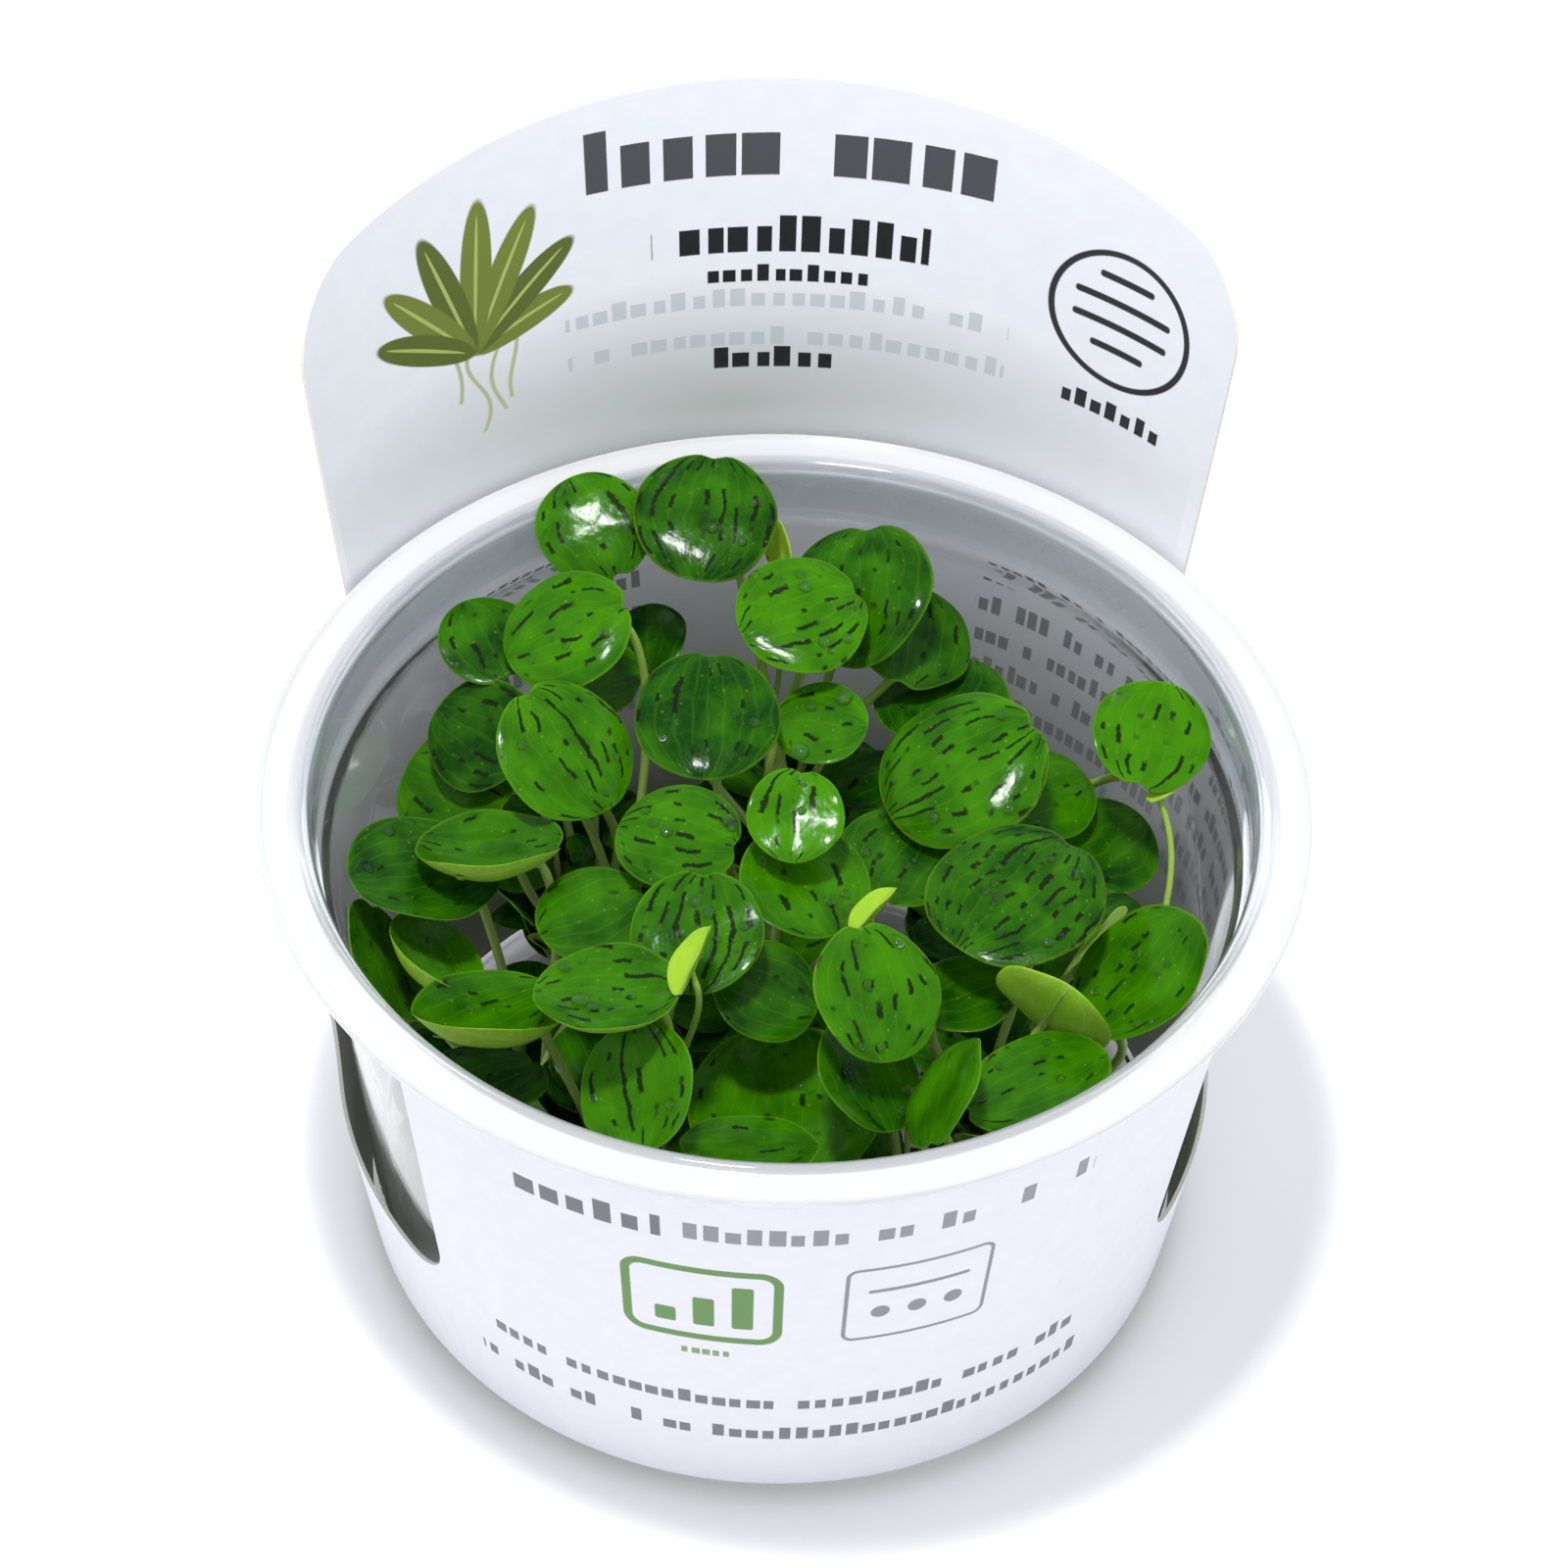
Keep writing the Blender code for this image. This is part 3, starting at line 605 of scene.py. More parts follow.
def stamp_row(tree, place, box, pitch, filled):
    """A row of plain blocks, one every pitch mm: some wider or taller, some left out as a space."""
    low, high = box[2:]
    split = add_node(tree, "ShaderNodeSeparateXYZ", {0: place})
    along = add_node(tree, "ShaderNodeMath", {0: split.outputs["X"], 1: pitch}, operation="DIVIDE")
    cell = add_node(tree, "ShaderNodeMath", {0: along}, operation="FLOOR")
    within = add_node(tree, "ShaderNodeMath", {0: along}, operation="FRACT")
    seed = add_node(tree, "ShaderNodeMath", {0: cell, 1: low * ROW_SEED}, operation="ADD")
    chance = add_node(tree, "ShaderNodeTexWhiteNoise", {"W": seed}, noise_dimensions="1D")
    width = add_node(tree, "ShaderNodeMath", {0: chance, 1: WIDTH_SEED}, operation="MULTIPLY")
    width = add_node(tree, "ShaderNodeMath", {0: width}, operation="FRACT")
    change = {0: width, 1: WIDTH_CHANGE, 2: filled - WIDTH_LESS}
    width = add_node(tree, "ShaderNodeMath", change, operation="MULTIPLY_ADD")
    block = add_node(tree, "ShaderNodeMath", {0: within, 1: width}, operation="LESS_THAN")
    kept = add_node(tree, "ShaderNodeMath", {0: chance, 1: SPACE_UNDER}, operation="GREATER_THAN")
    tall = add_node(tree, "ShaderNodeMath", {0: chance, 1: TALL_OVER}, operation="GREATER_THAN")
    short_top = low + (high - low) * SHORT_HEIGHT
    rise = {0: tall, 1: high - short_top, 2: short_top}
    block_top = add_node(tree, "ShaderNodeMath", rise, operation="MULTIPLY_ADD")
    below_top = add_node(tree, "ShaderNodeMath", {0: split.outputs["Y"], 1: block_top}, operation="LESS_THAN")
    row = stamp_box(tree, place, box, BLOCK_CORNER)
    for factor in (block, kept, below_top):
        row = add_node(tree, "ShaderNodeMath", {0: row, 1: factor}, operation="MULTIPLY")
    return row


print("about one block in", round(1 / SPACE_UNDER), "is left out as a space")

# %% [markdown]
# A printed root is the line of a sine wave, cut off by a box at its lower end.

# %% Root stamp
ROOT_WAVE = 0.6
ROOT_LINE = (0.1, 0.3)
ROOT_ROOM = 4


def stamp_root(tree, place, start, low, sway):
    """A thin wavy line that hangs down from start, an (x, height), to low."""
    x, high = start
    split = add_node(tree, "ShaderNodeSeparateXYZ", {0: place})
    turn = {0: split.outputs["Y"], 1: ROOT_WAVE, 2: low}
    wave = add_node(tree, "ShaderNodeMath", turn, operation="MULTIPLY_ADD")
    wave = add_node(tree, "ShaderNodeMath", {0: wave}, operation="SINE")
    wave = add_node(tree, "ShaderNodeMath", {0: wave, 1: sway, 2: x}, operation="MULTIPLY_ADD")
    off = add_node(tree, "ShaderNodeMath", {0: split.outputs["X"], 1: wave}, operation="SUBTRACT")
    off = add_node(tree, "ShaderNodeMath", {0: off}, operation="ABSOLUTE")
    ends = {"From Min": ROOT_LINE[0], "From Max": ROOT_LINE[1], **FADE_OUT}
    line = add_node(tree, "ShaderNodeMapRange", {"Value": off, **ends})
    hangs = stamp_box(tree, place, (x - ROOT_ROOM, x + ROOT_ROOM, low, high), BLOCK_CORNER)
    return add_node(tree, "ShaderNodeMath", {0: line, 1: hangs}, operation="MULTIPLY")


print("a printed root is", 2 * ROOT_LINE[1], "mm wide")

# %% [markdown]
# ## Coated card
# Sleeve board is pressed paper with a smooth white clay coat. To the eye it is a cool, even white with
# a faint mottle where the fibres lie a little thicker, a few millimetres apart, and a dull sheen. The
# cut edge has no coat and looks warmer. The inside carries a painted glow: a faint emission that stands
# for daylight shining through the thin card and makes the inside brighter. Low down, a painted green
# shade darkens the inside for the light there that has come through the leaves, and it fades upwards.
# Real fibres are finer than the picture can show, so the sheen's pattern is drawn coarser than they are.

# %% Coated card material
MOTTLE = 2.5
FIBRE = 0.25
# Painted green shade on the card's inside: its strength falls from the first LEAF_TINT value at the lower
# height to the second at the upper one.
LEAF_SHADE = (10.0, 42.0)
LEAF_TINT = (0.95, 0.05)


def coated_card(name, stamps, painted_glow):
    """Coated card with stamps of (ink, function that makes the mask), and a painted glow of that strength; a
    glowing card also gets painted green shade low down.
    """
    # The emission is a painted glow that stands for daylight shining through the card.
    material, tree, shader = new_material(name, IOR=1.5, Specular_IOR_Level=0.35, Emission_Strength=painted_glow)
    place = add_node(tree, "ShaderNodeUVMap", uv_map="flat")
    mottle = add_node(tree, "ShaderNodeTexNoise", {"Vector": place, "Scale": 1 / MOTTLE, "Detail": 3.0})
    fibre = add_node(tree, "ShaderNodeTexNoise", {"Vector": place, "Scale": 1 / FIBRE, "Detail": 2.0})
    white = {"Fac": mottle, "Color1": srgb("#dfe0e8"), "Color2": srgb("#e8e9f0")}
    colour = add_node(tree, "ShaderNodeMixRGB", white)
    # Painted shade: the inside is tinted dark olive, more towards the bottom, for light that came through the
    # leaves.
    if painted_glow:
        split = add_node(tree, "ShaderNodeSeparateXYZ", {0: place})
        ends = dict(zip(("From Min", "From Max", "To Min", "To Max"), LEAF_SHADE + LEAF_TINT))
        shade = add_node(tree, "ShaderNodeMapRange", {"Value": split.outputs["Y"], **ends})
        tint = {"Fac": shade, "Color1": colour, "Color2": srgb("#39471a")}
        colour = add_node(tree, "ShaderNodeMixRGB", tint)
    for ink, make in stamps:
        inked = {"Fac": make(tree, place), "Color1": colour, "Color2": srgb(ink)}
        colour = add_node(tree, "ShaderNodeMixRGB", inked)
    sheen = add_node(tree, "ShaderNodeMapRange", {"Value": fibre, "To Min": 0.36, "To Max": 0.5})
    connect(tree, shader, Base_Color=colour, Emission_Color=colour, Roughness=sheen)
    material.cycles.emission_sampling = "NONE"
    return material


plain_outside = coated_card("coated card, plain outside", [], 0)
print("plain card nodes:", len(plain_outside.node_tree.nodes))

# %% [markdown]
# The prints are listed before they are made. Each one is the box that it reaches, its ink, and the
# function that makes its mask in a material. Then a material needs to make only the prints that reach
# its patch of the card.

# %% Front print
BLOCK_SHARE = 0.72
OVAL_EDGE = 0.04
ROOT_REACHES = 1.5


def row_print(ink, box, pitch, filled=BLOCK_SHARE):
    """A row of blocks: its box, its ink and its mask."""
    return box, ink, lambda tree, place: stamp_row(tree, place, box, pitch, filled)


def box_print(ink, box, corner, line=0.0):
    """A rounded box or frame."""
    return box, ink, lambda tree, place: stamp_box(tree, place, box, corner, line)


def oval_print(ink, middle, size, turn, soft=OVAL_EDGE):
    """An oval, with the square that it can reach whatever its turn."""
    (x, y), reach = middle, max(size) / 2 * (1 + soft)
    box = (x - reach, x + reach, y - reach, y + reach)
    return box, ink, lambda tree, place: stamp_oval(tree, place, middle, size, turn, soft)


def root_print(ink, start, low, sway):
    """A wavy root."""
    box = (start[0] - ROOT_REACHES, start[0] + ROOT_REACHES, low, start[1])
    return box, ink, lambda tree, place: stamp_root(tree, place, start, low, sway)


# The front panel: a heading, two framed signs, and two lines of small blocks
prints = [
    row_print("#6a6a72", (-23.5, -9.5, 41.5, 44.6), 2.6),
    row_print("#8c8c94", (-7.5, 30.5, 41.9, 44.3), 1.9),
    row_print("#74747e", (-29.5, 34.5, 15.2, 17.2), 1.7),
    row_print("#74747e", (-31.5, 35.5, 10.0, 12.0), 1.7),
    box_print("#5f8a45", (-13.5, 1.5, 26.0, 37.5), 2.2, 0.9),
    row_print("#7c9c66", (-9.0, -3.0, 23.6, 24.9), 1.0),
    box_print("#85858d", (7.0, 21.0, 26.2, 37.6), 1.2, 0.4),
    box_print("#85858d", (9.2, 18.8, 33.6, 34.1), 0.2),
]
bars = ((-10.4, 30.6), (-6.8, 32.8), (-3.2, 35.0))
prints += [box_print("#5f8a45", (x, x + 2.0, 28.4, high), 0.3) for x, high in bars]
prints += [oval_print("#85858d", (x, 30.5), (1.8, 1.8), 0) for x in (10.5, 14.0, 17.5)]
print("prints on the front:", len(prints))

# %% [markdown]
# The header is read over the cup. It has faint rows that show through from behind, a painted grey
# shadow that the plants cast on its foot, rows for words, a round sign and a leafy tuft with roots.
# Small rows low on the back show through the cup's wall.

# %% Back print
BACK = 180 * MM_PER_DEGREE
TUFT = (BACK + 29.0, 65.5)
TUFT_BLADES = ((160, 10.0), (138, 13.0), (116, 14.5), (96, 15.5), (74, 14.5), (52, 13.0), (30, 11.0))
TUFT_ROOTS = ((25.5, 59.5, 0.5), (29.0, 57.0, 0.9), (27.0, 58.5, 0.7), (31.0, 61.0, 0.4))
SIGN_MIDDLE = BACK - 27.9
SIGN_BARS = ((67.2, 2.6), (69.6, 4.6), (72.0, 4.6), (74.4, 2.6))

on_front = len(prints)
prints += [
    row_print("#bfc3cb", (BACK - 18, BACK + 20.5, 64.3, 66.2), 1.7),
    row_print("#bfc3cb", (BACK - 18, BACK + 20.5, 60.2, 62.1), 1.7),
    # Painted shadow, not ink: a soft grey oval for the plants' shade on the header's foot.
    oval_print("#a4aaa6", (BACK + 6, 54), (50, 14), 0, 1.0),
    row_print("#48474c", (BACK - 15.5, BACK + 18, 78.0, 84.2), 3.5, 0.8),
    row_print("#1d1c1f", (BACK - 10.5, BACK + 12.7, 70.0, 73.8), 2.0, 0.76),
    row_print("#1d1c1f", (BACK - 5.5, BACK + 8, 66.9, 68.7), 1.4),
    row_print("#1d1c1f", (BACK - 4.3, BACK + 7.5, 57.8, 60.0), 1.8),
    box_print("#2c2b2f", (BACK - 34.8, BACK - 21, 63.8, 77.6), 6.9, 0.6),
    row_print("#2c2b2f", (BACK - 33.5, BACK - 23.5, 60.4, 62.2), 1.5),
]
for low, aside in SIGN_BARS:
    prints.append(box_print("#2c2b2f", (SIGN_MIDDLE - aside, SIGN_MIDDLE + aside, low, low + 0.7), 0.3))
for x, low, sway in TUFT_ROOTS:
    prints.append(root_print("#a9af8a", (BACK + x, 66.0), low, sway))
for turn, length in TUFT_BLADES:
    aside, rise = math.cos(math.radians(turn)), math.sin(math.radians(turn))
    blade_middle = (TUFT[0] + aside * length / 2, TUFT[1] + rise * length / 2)
    prints.append(oval_print("#56632a" if turn % 4 else "#6d7a33", blade_middle, (length, 3.0), turn))
    prints.append(oval_print("#a3ad62", blade_middle, (length * 0.8, 0.35), turn))
for low in (38.8, 35.4, 32.0, 28.6, 25.2, 21.8):
    for left, right_end in ((-62, -18.5), (14, 34)):
        ink = "#55575b" if low > 38 else "#7b7f83"
        prints.append(row_print(ink, (BACK + left, BACK + right_end, low, low + 1.9), 1.35))
print("prints on the back:", len(prints) - on_front)

# %% [markdown]
# Working out every stamp at every point of the card would make the render slow. So the card is divided
# into a few patches, and each patch has a material with only the stamps that reach it. The rest is
# plain card.

# %% Card patches
# Each patch: its left, right, low and high edge in flat millimetres
PATCHES = {
    "front, upper half": (-26, 34, 20, 48),
    "front, lower half": (-34, 38, 8, 20),
    "header, sign": (BACK - 38, BACK - 19.5, 42, 90),
    "header, words": (BACK - 19.5, BACK + 13, 42, 90),
    "header, words and tuft": (BACK + 13, BACK + 22, 42, 90),
    "header, tuft": (BACK + 22, BACK + 46, 42, 90),
    "back, right rows": (BACK - 64, BACK - 17, 20, 42),
    "back, left rows": (BACK + 12, BACK + 36, 20, 42),
}
# Painted glow on the card's inside: an emission that stands for daylight shining through the card.
PAINTED_GLOW = 0.2


def meets(box, patch):
    """Whether a print's box reaches into a patch."""
    return box[0] < patch[1] and box[1] > patch[0] and box[2] < patch[3] and box[3] > patch[2]


def patch_of(place):
    """The number of the patch that a flat place lies in, or the number of patches if it lies in none."""
    u, v = place
    holds = [a <= u < b and low <= v < high for a, b, low, high in PATCHES.values()]
    return holds.index(True) if any(holds) else len(PATCHES)


card_skins = []
for name, patch in PATCHES.items():
    painted_glow = 0 if name.startswith("front") else PAINTED_GLOW
    stamps = [(ink, make) for box, ink, make in prints if meets(box, patch)]
    card_skins.append(coated_card(f"coated card, {name}", stamps, painted_glow))
    print(f"{name}: {len(stamps)} stamps, {len(card_skins[-1].node_tree.nodes)} nodes")
card_skins.append(plain_outside)
card_skins.append(coated_card("coated card, plain inside", [], PAINTED_GLOW))

# %% [markdown]
# The die-cut edge shows the board's pulp, which is warmer than the coat and has thin layers.

# %% Card edge
PULP_LAYER = 1 / 3

card_edge, tree, shader = new_material("bare card, die-cut edge", Roughness=0.8, Specular_IOR_Level=0.2)
grain = add_node(tree, "ShaderNodeAttribute", attribute_name="grain")
layers = add_node(tree, "ShaderNodeTexNoise", {"Vector": grain, "Scale": 1 / PULP_LAYER, "Detail": 2.0})
pulp = {"Fac": layers, "Color1": srgb("#d9d4c8"), "Color2": srgb("#efece4")}
pulp = add_node(tree, "ShaderNodeMixRGB", pulp)
connect(tree, shader, Base_Color=pulp)
print("card materials:", len(card_skins) + 1)

# %% [markdown]
# Now each face of the sleeve gets its material: its patch's print where the card is printed, plain card
# elsewhere, and bare pulp along the cut edge.

# %% Sleeve piece
sleeve = sleeve_heap.piece("card_sleeve", [*card_skins, card_edge], sharp=40)
add_flat_uv(sleeve.data, flat, 360 * MM_PER_DEGREE)
uv = sleeve.data.uv_layers["flat"].data
plain = len(PATCHES)
for polygon in sleeve.data.polygons:
    side = polygon.material_index
    middle = sum((uv[loop].uv for loop in polygon.loop_indices), Vector((0, 0))) / polygon.loop_total
    patch = patch_of(middle)
    is_front = patch < plain and list(PATCHES)[patch].startswith("front")
    if side == OUTSIDE:
        polygon.material_index = patch if is_front else plain
    elif side == INSIDE:
        polygon.material_index = plain + 1 if is_front or patch == plain else patch
    else:
        polygon.material_index = plain + 2
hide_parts("sleeve")
printed = sum(polygon.material_index < plain for polygon in sleeve.data.polygons)
print("faces with print:", printed, "of", len(sleeve.data.polygons))

# %% [markdown]
# ## The leaves
# A frogbit leaf is a round blade with a shallow notch at its base, and a stalk that comes out of the
# notch. Each row below is one leaf as it lies in the cup, the same as in the CAD part, with two more
# readings at the end: its tone, from deep bluish green to yellow green, and how strongly it is
# streaked.

# %% Leaf table
# Each plantlet's crown: its x and y, and the radius and height of its low leaves' rim, in mm
CROWNS = {
    "a": (-18, 15, 9.6, 25),
    "b": (2, 20, 10.1, 27),
    "c": (20, 11, 9.5, 22),
    "d": (-2, 3, 9.5, 20),
    "e": (-23, -5, 10.3, 19),
    "f": (-12, -19, 11.0, 28),
    "g": (9, -20, 9.0, 19),
    "h": (21, -8, 9.0, 24),
}
# plantlet, middle of the blade and width in mm; lean, the way it faces and heading in degrees; curl and fold in
# half widths; tone and marks from 0 to 1
LEAVES = [
    ("a", (-18, 32, 51), 10.5, 30, -90, 115, -0.10, 0.0, 0.55, 0.6),
    ("b", (-8, 32, 53), 13.0, 20, -90, -95, -0.10, 0.0, 0.25, 0.9),
    ("b", (-1, 33, 48), 4.5, 60, -145, 75, 0.00, 0.5, 0.90, 0.1),
    ("b", (6, 28, 48), 14.0, 30, -135, -100, -0.20, 0.2, 0.30, 0.5),
    ("b", (11, 28, 43), 12.0, 20, -25, 85, -0.10, 0.0, 0.25, 0.4),
    ("b", (1, 23, 50), 12.0, 15, -75, -150, -0.10, 0.0, 0.70, 0.7),
    ("a", (-20, 20, 50), 12.0, 25, -135, -160, -0.15, 0.0, 0.70, 0.6),
    ("a", (-27, 22, 46), 9.0, 15, -80, 120, 0.00, 0.0, 0.30, 0.5),
    ("a", (-18, 23, 41), 9.5, 10, -85, 5, 0.00, 0.0, 0.40, 0.4),
    ("a", (-27, 14, 42), 10.5, 35, -130, 145, 0.05, 0.0, 0.10, 0.7),
    ("a", (-29, 12, 37), 12.0, 30, -145, 150, 0.10, 0.0, 0.50, 0.3),
    ("a", (-19, 8, 47), 13.0, 30, -40, -45, -0.10, 0.0, 0.65, 0.8),
    ("d", (-7, 12, 48), 13.0, 15, -90, -90, -0.10, 0.0, 0.10, 0.5),
    ("b", (-13, 30, 39), 7.5, 20, -140, 90, 0.00, 0.0, 0.15, 0.3),
    ("d", (3, 15, 44), 8.5, 15, -115, -5, 0.00, 0.0, 0.60, 0.5),
    ("c", (14, 24, 39), 12.5, 5, 135, 70, -0.10, 0.0, 0.20, 0.3),
    ("c", (15, 8, 47), 15.5, 25, -145, -155, -0.20, 0.0, 0.55, 0.8),
    ("c", (23, 10, 41), 9.5, 15, -40, 35, 0.00, 0.0, 0.45, 0.2),
    ("c", (32, 12, 47), 10.5, 25, -75, 80, 0.00, 0.0, 0.85, 0.5),
    ("h", (33, 8, 44), 2.5, 15, 170, 30, 0.00, 0.3, 0.80, 0.1),
    ("d", (1, -1, 49), 8.5, 25, -90, -95, 0.00, 0.1, 0.90, 0.8),
    ("d", (-9, -1, 46), 11.0, 10, -130, 165, -0.05, 0.0, 0.50, 0.7),
    ("d", (2, -4, 44), 11.5, 15, -45, -60, 0.00, 0.0, 0.55, 0.5),
    ("d", (10, 2, 41), 11.0, 5, -110, 65, 0.00, 0.0, 0.30, 0.4),
    ("h", (20, -6, 46), 15.5, 5, -130, -130, -0.10, 0.0, 0.30, 0.8),
    ("e", (-31, -3, 42), 13.5, 10, 30, -155, 0.10, 0.0, 0.20, 0.1),
    ("e", (-25, -2, 43), 13.0, 20, 105, 175, 0.25, 0.0, 0.45, 0.3),
    ("f", (-7, -12, 46), 11.5, 20, -110, -95, 0.00, 0.0, 0.45, 1.0),
    ("e", (-16, -7, 42), 10.0, 10, -130, -155, 0.05, 0.0, 0.40, 0.3),
    ("e", (-30, -10, 38), 10.0, 35, 15, 135, 0.30, 0.0, 0.60, 0.1),
    ("f", (-24, -19, 41), 13.5, 20, 90, -140, 0.25, 0.0, 0.40, 0.3),
    ("f", (-14, -20, 46), 12.5, 10, 115, 180, 0.15, 0.0, 0.55, 0.6),
    ("f", (-7, -18, 49), 5.5, 50, 175, 50, 0.00, 0.7, 1.00, 0.0),
    ("f", (-11, -26, 42), 11.5, 45, -140, -100, 0.05, 0.1, 0.85, 0.8),
    ("g", (8, -9, 46), 4.5, 40, 160, 35, 0.00, 0.8, 1.00, 0.0),
    ("g", (8, -19, 47), 12.0, 35, -40, -65, -0.05, 0.2, 0.65, 0.6),
    ("g", (-1, -14, 41), 9.5, 20, -50, -20, 0.00, 0.0, 0.25, 0.2),
    ("g", (8, -22, 40), 11.0, 35, -10, -55, 0.00, 0.0, 0.25, 0.4),
    ("h", (16, -12, 39), 9.0, 5, 160, 25, 0.05, 0.0, 0.25, 0.2),
    ("h", (23, -17, 43), 11.0, 75, 60, -115, 0.10, 0.0, 0.80, 0.1),
    ("h", (31, -12, 42), 13.5, 35, -170, 35, 0.10, 0.0, 0.60, 0.5),
    ("h", (27, -5, 38), 9.0, 55, 145, 40, 0.00, 0.4, 0.60, 0.1),
    ("g", (14, -26, 43), 10.5, 55, 175, 55, -0.10, 0.1, 0.60, 0.1),
    ("h", (22, -24, 41), 13.0, 20, 160, 15, 0.10, 0.0, 0.55, 0.3),
    ("g", (1, -19, 32), 17.0, 5, -110, -90, 0.00, 0.0, 0.60, 0.1),
    ("g", (-2, -30, 38), 12.0, 25, 95, 0, 0.20, 0.0, 0.45, 0.3),
    ("f", (-25, -19, 34), 11.5, 20, 90, -140, 0.00, 0.0, 0.20, 0.1),
    ("c", (29, 8, 37), 9.5, 25, -35, 45, 0.00, 0.0, 0.30, 0.3),
    ("h", (30, 0, 33), 9.0, 45, -35, 60, 0.00, 0.0, 0.25, 0.2),
    ("e", (-34, -9, 37), 12.0, 55, 10, -50, 0.10, 0.0, 0.45, 0.1),
]
YOUNG_WIDTH = 6.0
print("leaves:", len(LEAVES))

# %% [markdown]
# A blade has its own three directions: along to the tip, across to its left, and up out of its top
# face. Measured from the notch in these directions, curling and folding are simple sums. The long veins
# of a frogbit leaf leave the notch, bow out and meet again at the tip. The second method gives each
# point its place among those bows.

# %% Blade directions
NOTCH_DEPTH = 0.13
CURL_POWER = 3
FOLD_SOFTNESS = 0.5
NARROWEST = 0.35


def direction(lean, turn):
    """A unit vector that leans from the vertical towards a compass turn, both in degrees."""
    lean, turn = math.radians(lean), math.radians(turn)
    return np.array((math.sin(lean) * math.cos(turn), math.sin(lean) * math.sin(turn), math.cos(lean)))


class Blade:
    """One leaf's blade, in millimetres."""

    def __init__(self, plant, middle, width, lean, faces, heading, curl, fold, tone, marks):
        self.plant = plant
        self.middle = np.array(middle, float)
        self.radius = width / 2
        self.curl = curl
        self.fold = fold
        self.tone = tone
        self.marks = marks
        self.young = width < YOUNG_WIDTH
        self.up = direction(lean, faces)
        forward = direction(90, heading)
        self.along = forward - forward.dot(self.up) * self.up
        self.along /= np.linalg.norm(self.along)
        self.across = np.cross(self.up, self.along)
        self.notch_to_middle = self.radius * (1 - 2 * NOTCH_DEPTH)
        self.notch = self.middle - self.along * self.notch_to_middle

    def place(self, along, across, over):
        """Points on the blade, measured from its notch, lifted by its curl, its fold and over."""
        along, across, over = np.broadcast_arrays(along, across, over)
        from_middle = np.hypot(along - self.notch_to_middle, across) / self.radius
        folded = np.sqrt(across**2 + FOLD_SOFTNESS**2) - FOLD_SOFTNESS
        lift = self.curl * self.radius * from_middle**CURL_POWER + self.fold * folded + over
        parts = ((along, self.along), (across, self.across), (lift, self.up))
        return self.notch + sum(np.asarray(amount)[..., None] * axis for amount, axis in parts)

    def among_veins(self, along, across):
        """How far along a point is, and its bow's distance from the midrib where the blade is widest."""
        from_middle = along - self.notch_to_middle
        narrowest = NARROWEST * self.radius
        half_width = np.sqrt(np.maximum(self.radius**2 - from_middle**2, narrowest**2))
        return along, across / half_width * self.radius


blades = [Blade(*row) for row in LEAVES]
print("young, still rolled:", sum(blade.young for blade in blades))

# %% [markdown]
# ## The blade's mesh
# The blade is two skins that meet at the rim. Each is a fan of rings round the blade's middle, closer
# together towards the rim, where the shape turns. The rim is a circle with a notch and a faint wave, no
# two alike. On some leaves the rim in front rolls up. First come the places of the rings' points on the
# blade.

# %% Blade rings
FINE_NOTCH = 0.09
NOTCH_WIDTH = 0.14
WAVES_ROUND = (2, 3, 5)
WAVE = 0.012
RIPPLE = 0.022
YOUNG_STRETCH = (1.25, 0.72)
# Leaves whose front rim rolls up and shows the underside: by how many half widths, by the leaf's number
LIPS = {26: 0.08, 27: 0.24, 30: 0.28, 31: 0.28, 32: 0.2, 34: 0.08, 41: 0.12, 44: 0.12}
LIP_START = 0.6


def blade_rings(blade, number, rays, rings):
    """The rings' places along and across the blade, their lift, and each ring's share of the way out."""
    chance = random.Random(number)
    turn = np.linspace(0, 2 * np.pi, rays, endpoint=False)
    share = np.sin(np.linspace(0, np.pi / 2, rings + 1))[1:]
    waves = [(k, chance.uniform(0, math.tau), chance.uniform(0.4, 1)) for k in WAVES_ROUND]
    wave = sum(size * np.sin(k * turn + phase) for k, phase, size in waves)
    notch = FINE_NOTCH * np.exp(-(((turn - np.pi) / NOTCH_WIDTH) ** 2))
    rim = blade.radius * (1 - notch + WAVE * wave)
    stretch = YOUNG_STRETCH if blade.young else (1, 1)
    along = blade.notch_to_middle + np.outer(share, rim * np.cos(turn)) * stretch[0]
    across = np.outer(share, rim * np.sin(turn)) * stretch[1]

    # The ripple uses the same wave as the rim, a seventh of a turn on, so that the two don't match.
    lift = RIPPLE * blade.radius * np.outer(share**2, np.roll(wave, rays // 7))
    facing_front = np.clip(-np.cos(turn) * blade.along[1] - np.sin(turn) * blade.across[1], 0, 1)
    rolled = np.clip((share - LIP_START) / (1 - LIP_START), 0, 1) ** 2
    lift += LIPS.get(number, 0) * blade.radius * np.outer(rolled, facing_front)
    return along, across, lift, share


highest = [blade_rings(blades[number - 1], number, 40, 10)[2].max() for number in LIPS]
print("rolled rims rise by", round(min(highest), 1), "to", round(max(highest), 1), "mm")

# %% [markdown]
# Each skin is a fan of triangles in the middle and bands of squares round it. The thickness fades to
# nothing at the rim, which the two skins share, so the rim is thin and round.

# %% Blade skins
HALF_THICKNESS = 0.17
THINNING_POWER = 8
LEAF_APART = 40.0


